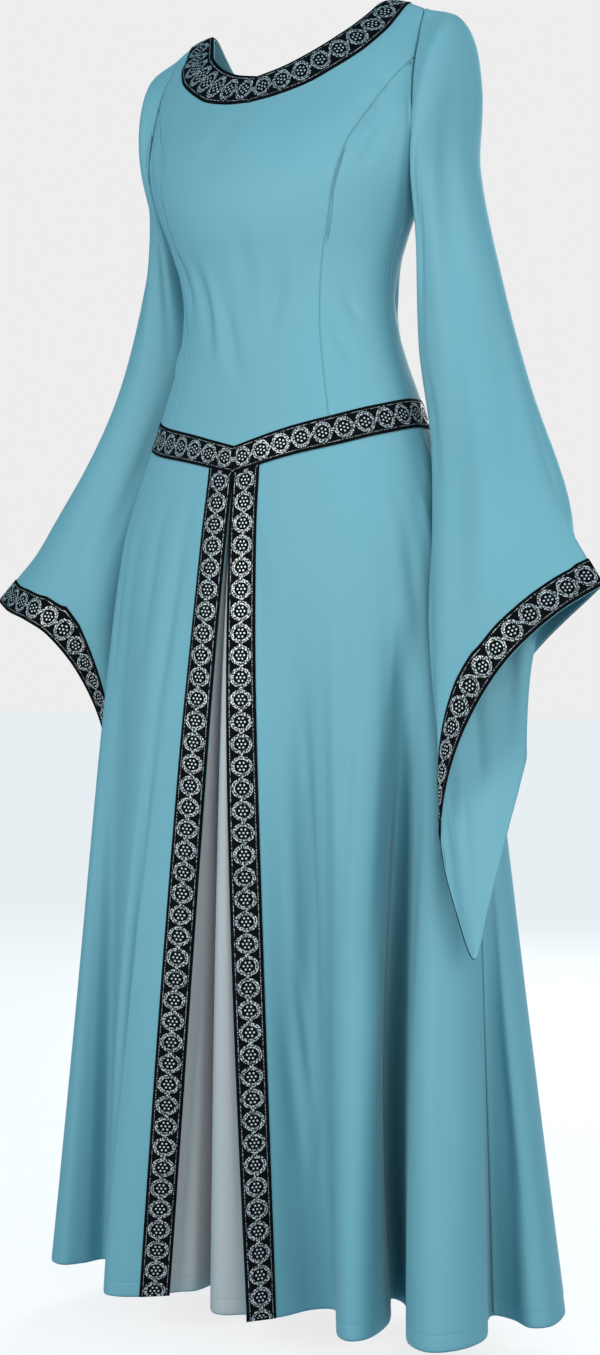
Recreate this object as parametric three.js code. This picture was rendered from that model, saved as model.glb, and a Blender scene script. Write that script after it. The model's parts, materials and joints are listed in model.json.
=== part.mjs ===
import * as THREE from 'three';

// A long medieval gown, hollow as it is worn, in millimetres with +Z up.
// It faces -Y, the wearer's left is +X, and the origin is midway between the neck
// points at the top of the shoulders. Every panel is a thin wall of cloth on a form
// that is worked out from the tables below.

// Driving sizes
const shoulderTop = 10;
const hemLevel = -1380;
const clothWall = 1.3;
const insetWall = 1.1;
const ribbonWall = 1.0;
const ribbonWidth = 33;
const seamGap = 0.3;
const neckPoint = 116;
const shoulderRound = 40;
const shoulderSlope = { straight: 0.1, curved: 0.006, fadesBy: 110 };

// Cloth and ribbon colours
const aqua = new THREE.MeshStandardMaterial({ color: 0x64b0c3, roughness: 0.62, metalness: 0 });
const white = new THREE.MeshStandardMaterial({ color: 0xdfe0e4, roughness: 0.7, metalness: 0 });
const braid = new THREE.MeshStandardMaterial({ color: 0x2a2b2e, roughness: 0.5, metalness: 0.3 });

// The body form by level: half width, where its middle lies, how deep it is in front and
// behind, and how far its corners fill out.
const form = [
  { at: 10, half: 174, middle: 16, front: 0, back: 0, corner: 0 },
  { at: 0, half: 176, middle: 15, front: 9, back: 8, corner: 0 },
  { at: -10, half: 177, middle: 14, front: 19, back: 16, corner: 0 },
  { at: -20, half: 178, middle: 13, front: 32, back: 27, corner: 0 },
  { at: -30, half: 180, middle: 12, front: 44, back: 37, corner: 0 },
  { at: -60, half: 181, middle: 10, front: 66, back: 57, corner: 0 },
  { at: -100, half: 181, middle: 8, front: 86, back: 77, corner: 0 },
  { at: -140, half: 180, middle: 5, front: 104, back: 89, corner: 0 },
  { at: -170, half: 171, middle: 3, front: 113, back: 94, corner: 0 },
  { at: -195, half: 160, middle: 1, front: 117, back: 95, corner: 0 },
  { at: -220, half: 148, middle: 0, front: 116, back: 94, corner: 0 },
  { at: -245, half: 138, middle: 0, front: 111, back: 91, corner: 0 },
  { at: -275, half: 129, middle: 0, front: 101, back: 87, corner: 0 },
  { at: -310, half: 126, middle: 0, front: 94, back: 85, corner: 0 },
  { at: -345, half: 130, middle: 0, front: 93, back: 89, corner: 0 },
  { at: -375, half: 138, middle: 0, front: 95, back: 96, corner: 0 },
  { at: -410, half: 151, middle: 0, front: 99, back: 105, corner: 0 },
  { at: -450, half: 165, middle: 0, front: 104, back: 115, corner: 0.02 },
  { at: -500, half: 185, middle: 0, front: 109, back: 124, corner: 0.05 },
  { at: -566, half: 205, middle: 0, front: 117, back: 134, corner: 0.08 },
  { at: -700, half: 222, middle: 0, front: 127, back: 144, corner: 0.12 },
  { at: -850, half: 238, middle: 0, front: 131, back: 152, corner: 0.16 },
  { at: -1085, half: 261, middle: 0, front: 131, back: 162, corner: 0.2 },
  { at: -1380, half: 292, middle: 0, front: 126, back: 172, corner: 0.22 },
];

// Neckline by turn round the body: the ribbon's upper and lower edges
const neckline = [
  { turn: 0, upper: -71, lower: -103 },
  { turn: 9, upper: -64, lower: -100 },
  { turn: 16, upper: -54, lower: -95 },
  { turn: 22.5, upper: -41, lower: -88 },
  { turn: 29, upper: -25, lower: -77 },
  { turn: 35, upper: -9, lower: -66 },
  { turn: 41, upper: 10, lower: -53 },
  { turn: 48, upper: 10, lower: -28 },
  { turn: 55.5, upper: 10, lower: 10 },
];
const neckEndUpper = 41;
const neckEndLower = 55.5;
const backNeckline = [
  { turn: 124.5, upper: 10, lower: 10 },
  { turn: 132, upper: 10, lower: -24 },
  { turn: 139, upper: 10, lower: -48 },
  { turn: 145, upper: -26, lower: -66 },
  { turn: 152, upper: -44, lower: -78 },
  { turn: 164, upper: -54, lower: -87 },
  { turn: 180, upper: -58, lower: -90 },
];
const backCentre = backNeckline[backNeckline.length - 1];

// Front half of the armhole, from the shoulder tip down to the underarm
const armhole = [
  { along: 0, turn: 66, at: 10 },
  { along: 0.25, turn: 66, at: -40 },
  { along: 0.5, turn: 67.5, at: -95 },
  { along: 0.7, turn: 72, at: -147 },
  { along: 0.85, turn: 79.5, at: -177 },
  { along: 1, turn: 90, at: -195 },
];
const princessStart = 0.33;

// Princess seam, from the armhole down to the hip
const princess = [
  { at: -58, turn: 65.9 },
  { at: -82, turn: 58 },
  { at: -107, turn: 51.5 },
  { at: -130, turn: 46.5 },
  { at: -160, turn: 43 },
  { at: -200, turn: 43.5 },
  { at: -240, turn: 45 },
  { at: -290, turn: 42.5 },
  { at: -350, turn: 40 },
  { at: -450, turn: 38 },
  { at: -500, turn: 37.5 },
];

// Hip ribbon by turn: its upper edge, and its lower edge, which is the hip seam
const hipLine = [
  { turn: 0, upper: -469, lower: -498 },
  { turn: 20, upper: -453, lower: -483 },
  { turn: 40, upper: -441, lower: -472 },
  { turn: 60, upper: -430, lower: -461 },
  { turn: 90, upper: -419, lower: -450 },
  { turn: 180, upper: -414, lower: -446 },
];

// The hem's course in plan, a row for each ridge, flank or trough, from the wearer's left
// front edge round the back to the right front edge. A fold fades out above its start,
// which is a share of the way down from the hip, and where early is 1 it is nearly full
// at the knee.
const hemFolds = [
  { turn: 0, x: 25, y: -120, start: 0, early: 0 },
  { turn: 7, x: 47, y: -86, start: 0, early: 0 },
  { turn: 13, x: 60, y: -50, start: 0.1, early: 0.4 },
  { turn: 20, x: 80, y: -37, start: 0.12, early: 0.5 },
  { turn: 28, x: 106, y: -66, start: 0.15, early: 0.5 },
  { turn: 35, x: 124, y: -103, start: 0.15, early: 0.5 },
  { turn: 42, x: 146, y: -115, start: 0.15, early: 0.5 },
  { turn: 48, x: 159, y: -92, start: 0.17, early: 0.5 },
  { turn: 52, x: 150, y: -40, start: 0.2, early: 0.8 },
  { turn: 55, x: 122, y: 10, start: 0.2, early: 0.9 },
  { turn: 58, x: 112, y: 30, start: 0.2, early: 0.9 },
  { turn: 61, x: 134, y: 18, start: 0.2, early: 0.8 },
  { turn: 65, x: 170, y: -38, start: 0.2, early: 0.5 },
  { turn: 69, x: 197, y: -86, start: 0.2, early: 0.4 },
  { turn: 73, x: 229, y: -101, start: 0.2, early: 0.3 },
  { turn: 78, x: 254, y: -74, start: 0.2, early: 0.2 },
  { turn: 82, x: 258, y: -32, start: 0.25, early: 0 },
  { turn: 86, x: 236, y: 14, start: 0.25, early: 0 },
  { turn: 90, x: 230, y: 38, start: 0.25, early: 0 },
  { turn: 94, x: 254, y: 36, start: 0.25, early: 0 },
  { turn: 98, x: 280, y: 22, start: 0.25, early: 0 },
  { turn: 103, x: 297, y: 42, start: 0.2, early: 0 },
  { turn: 109, x: 288, y: 90, start: 0.2, early: 0 },
  { turn: 116, x: 262, y: 112, start: 0.2, early: 0 },
  { turn: 123, x: 262, y: 140, start: 0.2, early: 0 },
  { turn: 130, x: 240, y: 162, start: 0.2, early: 0 },
  { turn: 138, x: 200, y: 140, start: 0.25, early: 0 },
  { turn: 147, x: 168, y: 176, start: 0.2, early: 0 },
  { turn: 156, x: 118, y: 150, start: 0.3, early: 0 },
  { turn: 165, x: 84, y: 188, start: 0.2, early: 0 },
  { turn: 174, x: 34, y: 158, start: 0.25, early: 0 },
  { turn: 183, x: -8, y: 190, start: 0.2, early: 0 },
  { turn: 192, x: -62, y: 152, start: 0.3, early: 0 },
  { turn: 201, x: -104, y: 186, start: 0.2, early: 0 },
  { turn: 210, x: -150, y: 146, start: 0.25, early: 0 },
  { turn: 219, x: -190, y: 174, start: 0.2, early: 0 },
  { turn: 228, x: -222, y: 136, start: 0.25, early: 0 },
  { turn: 237, x: -256, y: 146, start: 0.2, early: 0 },
  { turn: 245, x: -258, y: 100, start: 0.25, early: 0 },
  { turn: 254, x: -290, y: 84, start: 0.2, early: 0 },
  { turn: 262, x: -276, y: 40, start: 0.3, early: 0 },
  { turn: 271, x: -296, y: 10, start: 0.2, early: 0 },
  { turn: 280, x: -297, y: -30, start: 0.2, early: 0 },
  { turn: 288, x: -290, y: -57, start: 0.2, early: 0 },
  { turn: 298, x: -266, y: -66, start: 0.2, early: 0.2 },
  { turn: 306, x: -250, y: -46, start: 0.15, early: 0.5 },
  { turn: 314, x: -240, y: -22, start: 0.1, early: 0.6 },
  { turn: 321, x: -214, y: -38, start: 0.05, early: 0.4 },
  { turn: 328, x: -186, y: -84, start: 0.05, early: 0.2 },
  { turn: 335, x: -163, y: -121, start: 0.02, early: 0 },
  { turn: 344, x: -145, y: -126, start: 0, early: 0 },
  { turn: 353, x: -124, y: -116, start: 0, early: 0 },
  { turn: 360, x: -96, y: -91, start: 0, early: 0 },
];
const lateGrowth = 1.3;
const earlyGrowth = 1.2;

// The white inset's hem, as shifts from the straight line between its two sewn edges
const insetFolds = [
  { across: 0, x: 0, y: 0 },
  { across: 0.1, x: 0, y: 24 },
  { across: 0.2, x: 0, y: 40 },
  { across: 0.38, x: -22, y: 76 },
  { across: 0.48, x: -20, y: 44 },
  { across: 0.57, x: 0, y: -6 },
  { across: 0.64, x: 8, y: -12 },
  { across: 0.8, x: 4, y: 2 },
  { across: 0.92, x: 0, y: 8 },
  { across: 1, x: 0, y: 0 },
];

// Left sleeve: rings from shoulder to forearm, by their outer and inner points
const sleeveRings = [
  { along: 0.05, outX: 195, outY: 30, outZ: -18, inX: 162, inY: 4, inZ: -203, deep: 50, skew: 0 },
  { along: 0.12, outX: 206, outY: 37, outZ: -64, inX: 160, inY: 8, inZ: -216, deep: 54, skew: 0 },
  { along: 0.26, outX: 202, outY: 44, outZ: -160, inX: 156, inY: 24, inZ: -268, deep: 50, skew: 0 },
  { along: 0.42, outX: 230, outY: 44, outZ: -290, inX: 154, inY: 32, inZ: -372, deep: 50, skew: 3 },
  { along: 0.58, outX: 265, outY: 33, outZ: -400, inX: 184, inY: 8, inZ: -480, deep: 50, skew: 8 },
  { along: 0.8, outX: 329, outY: -8, outZ: -540, inX: 219, inY: -46, inZ: -650, deep: 52, skew: 18 },
];
// How far the inner side of each sleeve moves out and back by its hem
const innerSwing = { left: { x: 0, y: 0 }, right: { x: 8, y: 62 } };

// Each sleeve's hem, from the wrist along the front to the point and back behind. The left
// sleeve hangs in front of the hip and the right one behind it.
const sleeveHems = {
  left: [
    { round: 0, x: 388, y: -36, z: -622 },
    { round: 20, x: 356, y: -66, z: -648 },
    { round: 45, x: 320, y: -90, z: -686 },
    { round: 70, x: 290, y: -98, z: -727 },
    { round: 95, x: 262, y: -98, z: -778 },
    { round: 120, x: 246, y: -98, z: -832 },
    { round: 145, x: 246, y: -102, z: -886 },
    { round: 165, x: 260, y: -98, z: -944 },
    { round: 180, x: 274, y: -86, z: -990 },
    { round: 195, x: 282, y: -70, z: -934 },
    { round: 210, x: 286, y: -54, z: -892 },
    { round: 225, x: 288, y: -38, z: -856 },
    { round: 240, x: 290, y: -22, z: -822 },
    { round: 255, x: 290, y: -8, z: -790 },
    { round: 270, x: 278, y: 6, z: -758 },
    { round: 285, x: 270, y: 10, z: -728 },
    { round: 300, x: 276, y: 16, z: -702 },
    { round: 315, x: 297, y: 17, z: -677 },
    { round: 330, x: 328, y: 4, z: -655 },
    { round: 345, x: 360, y: -16, z: -637 },
    { round: 360, x: 388, y: -36, z: -622 },
  ],
  right: [
    { round: 0, x: 388, y: -36, z: -622 },
    { round: 20, x: 356, y: -56, z: -635 },
    { round: 45, x: 322, y: -66, z: -646 },
    { round: 70, x: 292, y: -60, z: -665 },
    { round: 95, x: 268, y: -38, z: -706 },
    { round: 120, x: 258, y: -8, z: -764 },
    { round: 145, x: 258, y: 16, z: -836 },
    { round: 165, x: 262, y: 36, z: -906 },
    { round: 180, x: 264, y: 56, z: -980 },
    { round: 195, x: 254, y: 76, z: -930 },
    { round: 210, x: 246, y: 92, z: -884 },
    { round: 225, x: 240, y: 104, z: -840 },
    { round: 240, x: 238, y: 114, z: -800 },
    { round: 255, x: 242, y: 118, z: -766 },
    { round: 270, x: 252, y: 116, z: -738 },
    { round: 285, x: 268, y: 106, z: -714 },
    { round: 300, x: 288, y: 88, z: -694 },
    { round: 315, x: 310, y: 64, z: -676 },
    { round: 330, x: 334, y: 34, z: -658 },
    { round: 345, x: 362, y: 0, z: -640 },
    { round: 360, x: 388, y: -36, z: -622 },
  ],
};
const sleeveTop = 0.0008;

// Grid sizes
const rowsIn = { neck: 2, shoulder: 3, torso: 9, hip: 1, skirt: 11, sleeve: 11, sleeveTrim: 2 };
const columnsIn = { neck: 8, shoulder: 1, side: 5, band: 2, inset: 14, sleeve: 40 };
const frontStep = 3.1;
const backStep = 4.5;
const frontSpread = 80;

const lerp = (from, to, share) => from + (to - from) * share;
const steps = (count) => Array.from({ length: count + 1 }, (_, index) => index / count);
const clamp = (value) => Math.min(1, Math.max(0, value));

// Smooth value of a table's column where its key column reaches a value
function read(table, key, value, name) {
  const last = table.length - 1;
  const rising = table[last][key] > table[0][key] ? 1 : -1;
  let row = 0;
  while (row < last - 1 && (value - table[row + 1][key]) * rising > 0) row += 1;
  const slope = (index) => {
    const before = table[Math.max(0, index - 1)];
    const after = table[Math.min(last, index + 1)];
    return (after[name] - before[name]) / (after[key] - before[key]);
  };
  const span = table[row + 1][key] - table[row][key];
  const t = clamp((value - table[row][key]) / span);
  const from = table[row][name];
  const to = table[row + 1][name];
  const ease = t * t * (3 - 2 * t);
  const lean = t * (1 - t) * ((1 - t) * slope(row) - t * slope(row + 1)) * span;
  return from + (to - from) * ease + lean;
}

// Height of a level: the shoulders round over in the top stretch
function height(at) {
  const depth = (shoulderTop - at) / shoulderRound;
  return depth >= 1 ? at : shoulderTop - shoulderRound * depth * depth * (2 - depth);
}

// A point of the body form. Turn is 0 at the front, 90 at the wearer's left, 180 behind.
function bodyPoint(turn, at) {
  const angle = THREE.MathUtils.degToRad(turn);
  const sine = Math.sin(angle);
  const cosine = Math.cos(angle);
  const corner = read(form, 'at', at, 'corner');
  const deep = read(form, 'at', at, cosine > 0 ? 'front' : 'back');
  const x = read(form, 'at', at, 'half') * sine * (1 + corner * cosine * cosine);
  const y = read(form, 'at', at, 'middle') - deep * cosine * (1 + corner * sine * sine);
  const past = Math.max(0, Math.abs(x) - neckPoint);
  const fall = shoulderSlope.straight * past + shoulderSlope.curved * past * past;
  const left = clamp(1 - (shoulderTop - at) / shoulderSlope.fadesBy);
  return new THREE.Vector3(x, y, height(at) - fall * left);
}

// The skirt: the body form below the hip seam, with folds that grow towards the hem
function skirtPoint(turn, drop) {
  const mirrored = turn > 180 ? 360 - turn : turn;
  const seam = read(hipLine, 'turn', mirrored, 'lower');
  const point = bodyPoint(turn, lerp(seam, hemLevel, drop));
  const hem = bodyPoint(turn, hemLevel);
  const start = read(hemFolds, 'turn', turn, 'start');
  const share = clamp((drop - start) / (1 - start));
  const soon = Math.sin((share * Math.PI) / 2) ** earlyGrowth;
  const grown = lerp(share ** lateGrowth, soon, read(hemFolds, 'turn', turn, 'early'));
  point.x += grown * (read(hemFolds, 'turn', turn, 'x') - hem.x);
  point.y += grown * (read(hemFolds, 'turn', turn, 'y') - hem.y);
  return point;
}

// Outward normal of a surface, given as a function of two parameters
function normalOf(surface, a, b, stepA, stepB) {
  const alongA = surface(a + stepA, b).sub(surface(a - stepA, b));
  const alongB = surface(a, b - stepB).sub(surface(a, b + stepB));
  return alongA.cross(alongB).normalize();
}

// A wall of cloth over patches of a surface. Each patch is a grid of parameter pairs, with
// rows going down and columns going to the wearer's left, and patches that share points
// are one cloth. The wall runs from low to high above the surface, and its outline is
// drawn in by half a seam gap.
function wall(patches, surface, { low = -clothWall, high = 0, stepA = 0.2, stepB = -1, flip = 1 }) {
  const numbers = new Map();
  const points = [];
  const normals = [];
  const numberOf = ([a, b]) => {
    const spot = surface(a, b);
    const key = spot.toArray().map((value) => Math.round(value * 1e3)).join();
    if (!numbers.has(key)) {
      numbers.set(key, points.length);
      points.push(spot);
      normals.push(normalOf(surface, a, b, stepA, stepB).multiplyScalar(flip));
    }
    return numbers.get(key);
  };
  const triangles = [];
  const addTriangle = (...corners) => {
    if (new Set(corners).size === 3) triangles.push(flip > 0 ? corners : corners.reverse());
  };
  for (const patch of patches) {
    const grid = patch.map((row) => row.map(numberOf));
    for (let row = 0; row + 1 < grid.length; row += 1) {
      for (let column = 0; column + 1 < grid[row].length; column += 1) {
        const [a, b] = [grid[row][column], grid[row][column + 1]];
        const [c, d] = [grid[row + 1][column], grid[row + 1][column + 1]];
        addTriangle(a, c, b);
        addTriangle(b, c, d);
      }
    }
  }
  const rims = rimOf(triangles);
  const shifts = drawIn(points, rims, triangles);
  const positions = [];
  for (const lift of [high, low]) {
    points.forEach((point, index) => {
      const moved = point.clone().addScaledVector(normals[index], lift).add(shifts[index]);
      positions.push(moved.x, moved.y, moved.z);
    });
  }
  const count = points.length;
  const faces = triangles.flatMap(([a, b, c]) => [a, b, c, c + count, b + count, a + count]);
  for (const [from, to] of rims) {
    faces.push(from, from + count, to, to, from + count, to + count);
  }
  const geometry = new THREE.BufferGeometry();
  geometry.setAttribute('position', new THREE.Float32BufferAttribute(positions, 3));
  geometry.setIndex(faces);
  geometry.computeVertexNormals();
  return geometry;
}

// Directed edges that only one triangle uses
function rimOf(triangles) {
  const used = new Map();
  for (const [a, b, c] of triangles) {
    for (const [from, to] of [[a, b], [b, c], [c, a]]) used.set(`${from},${to}`, [from, to]);
  }
  return [...used.values()].filter(([from, to]) => !used.has(`${to},${from}`));
}

// How far each point of the outline moves in, so that seams stay a gap apart
function drawIn(points, rims, triangles) {
  const shifts = points.map(() => new THREE.Vector3());
  const inward = new Map();
  const opposite = new Map();
  for (const [a, b, c] of triangles) {
    opposite.set(`${a},${b}`, c);
    opposite.set(`${b},${c}`, a);
    opposite.set(`${c},${a}`, b);
  }
  for (const [from, to] of rims) {
    const edge = points[to].clone().sub(points[from]).normalize();
    const across = points[opposite.get(`${from},${to}`)].clone().sub(points[from]);
    across.addScaledVector(edge, -across.dot(edge)).normalize();
    for (const end of [from, to]) {
      inward.set(end, [...(inward.get(end) ?? []), across]);
    }
  }
  for (const [index, [first, second]] of inward) {
    const both = first.clone().add(second).normalize();
    const reach = Math.min(2, 1 / Math.max(0.3, both.dot(first)));
    shifts[index].copy(both).multiplyScalar((reach * seamGap) / 2);
  }
  return shifts;
}

// Parameter pairs of a patch between four edges that share their corners
function fill(top, bottom, left, right) {
  const columns = top.length - 1;
  const rows = left.length - 1;
  return left.map((leftPair, row) => top.map((topPair, column) => {
    const u = column / columns;
    const v = row / rows;
    return [0, 1].map((axis) => {
      const across = lerp(leftPair[axis], right[row][axis], u);
      const down = lerp(topPair[axis], bottom[column][axis], v);
      const upper = lerp(top[0][axis], top[columns][axis], u);
      const lower = lerp(bottom[0][axis], bottom[columns][axis], u);
      return across + down - lerp(upper, lower, v);
    });
  }));
}

// Straight run of parameter pairs
const line = (from, to, count) => steps(count).map((t) => [0, 1].map((i) => lerp(from[i], to[i], t)));
const mirror = (pairs, about = 0) => pairs.map(([turn, at]) => [2 * about - turn, at]);
const mirrorPatch = (patch) => patch.map((row) => mirror(row).reverse());

const armholeAt = (along) => [read(armhole, 'along', along, 'turn'), read(armhole, 'along', along, 'at')];
const princessAt = (at) => [read(princess, 'at', at, 'turn'), at];
const hipAt = (turn, edge) => [turn, read(hipLine, 'turn', turn, edge)];

// Edges that two panels share
const necklineEdge = (edge, end) => steps(columnsIn.neck)
  .map((t) => [t * end, read(neckline, 'turn', t * end, edge)]);
const backNeckEdge = (edge, end) => steps(columnsIn.neck)
  .map((t) => [lerp(end, 180, t), read(backNeckline, 'turn', lerp(end, 180, t), edge)]);
const shoulderEdge = line([neckEndLower, shoulderTop], [armhole[0].turn, shoulderTop], columnsIn.shoulder);
const upperArmhole = steps(rowsIn.shoulder).map((t) => armholeAt(t * princessStart));
const lowerArmhole = steps(columnsIn.side).map((t) => armholeAt(lerp(princessStart, 1, t)));
const princessTop = upperArmhole[rowsIn.shoulder];
const princessFoot = -442;
const princessEdge = steps(rowsIn.torso).map((t) => {
  const [turn, at] = princessAt(lerp(princessTop[1], princessFoot, t));
  return t === 0 ? princessTop : [turn, at];
});
princessEdge[rowsIn.torso] = hipAt(princessEdge[rowsIn.torso][0], 'upper');
const sideSeam = line([90, armhole[armhole.length - 1].at], hipAt(90, 'upper'), rowsIn.torso);
const hipEdge = (from, to, edge, count) => steps(count).map((t) => hipAt(lerp(from, to, t), edge));

// Front centre panel, left half: ribbon zone, body and hip zone
const princessTurn = princessEdge[rowsIn.torso][0];
const frontColumns = columnsIn.neck + columnsIn.shoulder;
const frontRows = rowsIn.shoulder + rowsIn.torso;
const neckLow = necklineEdge('lower', neckEndLower);
const neckZone = fill(
  necklineEdge('upper', neckEndUpper),
  neckLow,
  line([0, neckline[0].upper], [0, neckline[0].lower], rowsIn.neck),
  line([neckEndUpper, shoulderTop], [neckEndLower, shoulderTop], rowsIn.neck),
);
const frontBody = fill(
  [...neckLow, ...shoulderEdge.slice(1)],
  hipEdge(0, princessTurn, 'upper', frontColumns),
  line([0, neckline[0].lower], hipAt(0, 'upper'), frontRows),
  [...upperArmhole, ...princessEdge.slice(1)],
);
const zoneBelow = (upper, lower) => fill(
  upper,
  lower,
  line(upper[0], lower[0], rowsIn.hip),
  line(upper[upper.length - 1], lower[lower.length - 1], rowsIn.hip),
);
const frontHip = zoneBelow(
  hipEdge(0, princessTurn, 'upper', frontColumns),
  hipEdge(0, princessTurn, 'lower', frontColumns),
);

// Side front panel
const sideBody = fill(
  lowerArmhole,
  hipEdge(princessTurn, 90, 'upper', columnsIn.side),
  princessEdge,
  sideSeam,
);
const sideHip = zoneBelow(
  hipEdge(princessTurn, 90, 'upper', columnsIn.side),
  hipEdge(princessTurn, 90, 'lower', columnsIn.side),
);

// Back panel, from the armhole and side seam to the centre back
const backLow = backNeckEdge('lower', 180 - neckEndLower);
const backTop = backNeckEdge('upper', 180 - neckEndUpper);
const backNeckZone = fill(
  backTop,
  backLow,
  line([180 - neckEndUpper, shoulderTop], [180 - neckEndLower, shoulderTop], rowsIn.neck),
  line([180, backCentre.upper], [180, backCentre.lower], rowsIn.neck),
);
const backArmhole = mirror([...upperArmhole, ...lowerArmhole.slice(1)], 90);
const backSide = [...backArmhole, ...sideSeam.slice(1)];
const backColumns = columnsIn.neck + columnsIn.shoulder;
const backBody = fill(
  [...mirror(shoulderEdge, 90).reverse(), ...backLow.slice(1)],
  hipEdge(90, 180, 'upper', backColumns),
  backSide,
  line([180, backCentre.lower], hipAt(180, 'upper'), backSide.length - 1),
);
const backHip = zoneBelow(
  hipEdge(90, 180, 'upper', backColumns),
  hipEdge(90, 180, 'lower', backColumns),
);

const gown = new THREE.Group();
function add(name, geometry, material) {
  const mesh = new THREE.Mesh(geometry, material);
  mesh.name = name;
  gown.add(mesh);
}

const onCloth = { low: seamGap, high: seamGap + ribbonWall };
const both = (patch) => [patch, mirrorPatch(patch)];
const panelPatches = {
  bodice_side_front: [sideBody, sideHip],
  bodice_back: [backNeckZone, backBody, backHip],
};
add('bodice_front_centre', wall([neckZone, frontBody, frontHip].flatMap(both), bodyPoint, {}), aqua);
for (const [name, patches] of Object.entries(panelPatches)) {
  add(`${name}_left`, wall(patches, bodyPoint, {}), aqua);
  add(`${name}_right`, wall(patches.map(mirrorPatch), bodyPoint, {}), aqua);
}
for (const [name, patches] of Object.entries({
  neck_trim: [neckZone, backNeckZone],
  hip_trim: [frontHip, sideHip, backHip],
})) {
  add(`${name}_left`, wall(patches, bodyPoint, onCloth), braid);
  add(`${name}_right`, wall(patches.map(mirrorPatch), bodyPoint, onCloth), braid);
}

// Turn at which a ribbon's width is reached, measured along the skirt from a front edge
function bandTurn(edge, drop) {
  const step = edge === 0 ? 0.25 : -0.25;
  let turn = edge;
  let last = skirtPoint(turn, drop);
  let run = 0;
  while (run < ribbonWidth) {
    turn += step;
    const next = skirtPoint(turn, drop);
    const length = next.distanceTo(last);
    if (run + length >= ribbonWidth) return turn - step + (step * (ribbonWidth - run)) / length;
    run += length;
    last = next;
  }
  return turn;
}

// Skirt panels: a ribbon zone along the front edge, then the rest of the panel
function skirtGrid(startOf, endOf, count) {
  return steps(rowsIn.skirt).map((drop) => steps(count)
    .map((t) => [lerp(startOf(drop), endOf(drop), t), drop]));
}
const leftBand = (drop) => bandTurn(0, drop);
const rightBand = (drop) => bandTurn(360, drop);
const bandZones = {
  left: skirtGrid(() => 0, leftBand, columnsIn.band),
  right: skirtGrid(rightBand, () => 360, columnsIn.band),
};
const frontCount = Math.round(frontSpread / frontStep);
const backCount = Math.round(90 / backStep);
const skirtPanels = {
  skirt_front_left: [bandZones.left, skirtGrid(leftBand, () => 90, frontCount)],
  skirt_back_left: [skirtGrid(() => 90, () => 180, backCount)],
  skirt_back_right: [skirtGrid(() => 180, () => 270, backCount)],
  skirt_front_right: [skirtGrid(() => 270, rightBand, frontCount), bandZones.right],
};
const skirtSteps = { stepA: 0.2, stepB: 0.004 };
for (const [name, patches] of Object.entries(skirtPanels)) {
  add(name, wall(patches, skirtPoint, skirtSteps), aqua);
}
for (const [side, zone] of Object.entries(bandZones)) {
  add(`front_band_${side}`, wall([zone], skirtPoint, { ...skirtSteps, ...onCloth }), braid);
}

// The white inset is sewn behind the middle of one front ribbon and of the other
function insetPoint(across, drop) {
  const ends = [[rightBand, 360], [leftBand, 0]].map(([band, edge]) => {
    const turn = (edge + band(drop)) / 2;
    const normal = normalOf(skirtPoint, turn, drop, skirtSteps.stepA, skirtSteps.stepB);
    return skirtPoint(turn, drop).addScaledVector(normal, -clothWall - seamGap);
  });
  const point = ends[0].clone().lerp(ends[1], across);
  point.x += drop * read(insetFolds, 'across', across, 'x');
  point.y += drop * read(insetFolds, 'across', across, 'y');
  return point;
}
const insetGrid = steps(rowsIn.skirt).map((drop) => steps(columnsIn.inset)
  .map((t) => [t, drop]));
add('front_inset', wall([insetGrid], insetPoint, { low: -insetWall, stepA: 0.01, stepB: 0.003 }), white);

// The armhole as a loop: down its front from the shoulder tip, then up its back
function armholeLoop(round) {
  const share = round <= 180 ? round / 180 : 2 - round / 180;
  const [turn, at] = armholeAt(share);
  return bodyPoint(round <= 180 ? turn : 180 - turn, at);
}

// A ring of the sleeve through its outer and inner points
function ringPoint(ring, swing, round) {
  const inX = ring.inX + swing.x * ring.along;
  const inY = ring.inY + swing.y * ring.along;
  const angle = THREE.MathUtils.degToRad(round);
  const out = Math.cos(angle);
  const side = Math.sin(angle);
  return new THREE.Vector3(
    (ring.outX + inX) / 2 + (out * (ring.outX - inX)) / 2 - side * ring.skew,
    (ring.outY + inY) / 2 + (out * (ring.outY - inY)) / 2 - side * ring.deep,
    (ring.outZ + ring.inZ) / 2 + (out * (ring.outZ - ring.inZ)) / 2,
  );
}

// The surface of one sleeve, through the armhole, its rings and its hem
function sleeveSurface(name, side) {
  return (round, along) => {
    const turn = ((round % 360) + 360) % 360;
    const knots = [
      { key: 0, point: armholeLoop(turn) },
      ...sleeveRings.map((ring) => ({ key: ring.along, point: ringPoint(ring, innerSwing[name], turn) })),
    ].map(({ key, point }) => ({ key, x: point.x, y: point.y, z: point.z }));
    const hem = ['x', 'y', 'z'].map((axis) => [axis, read(sleeveHems[name], 'round', turn, axis)]);
    knots.push({ key: 1, ...Object.fromEntries(hem) });
    const point = new THREE.Vector3(...['x', 'y', 'z'].map((axis) => read(knots, 'key', along, axis)));
    point.x *= side;
    return point;
  };
}

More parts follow.
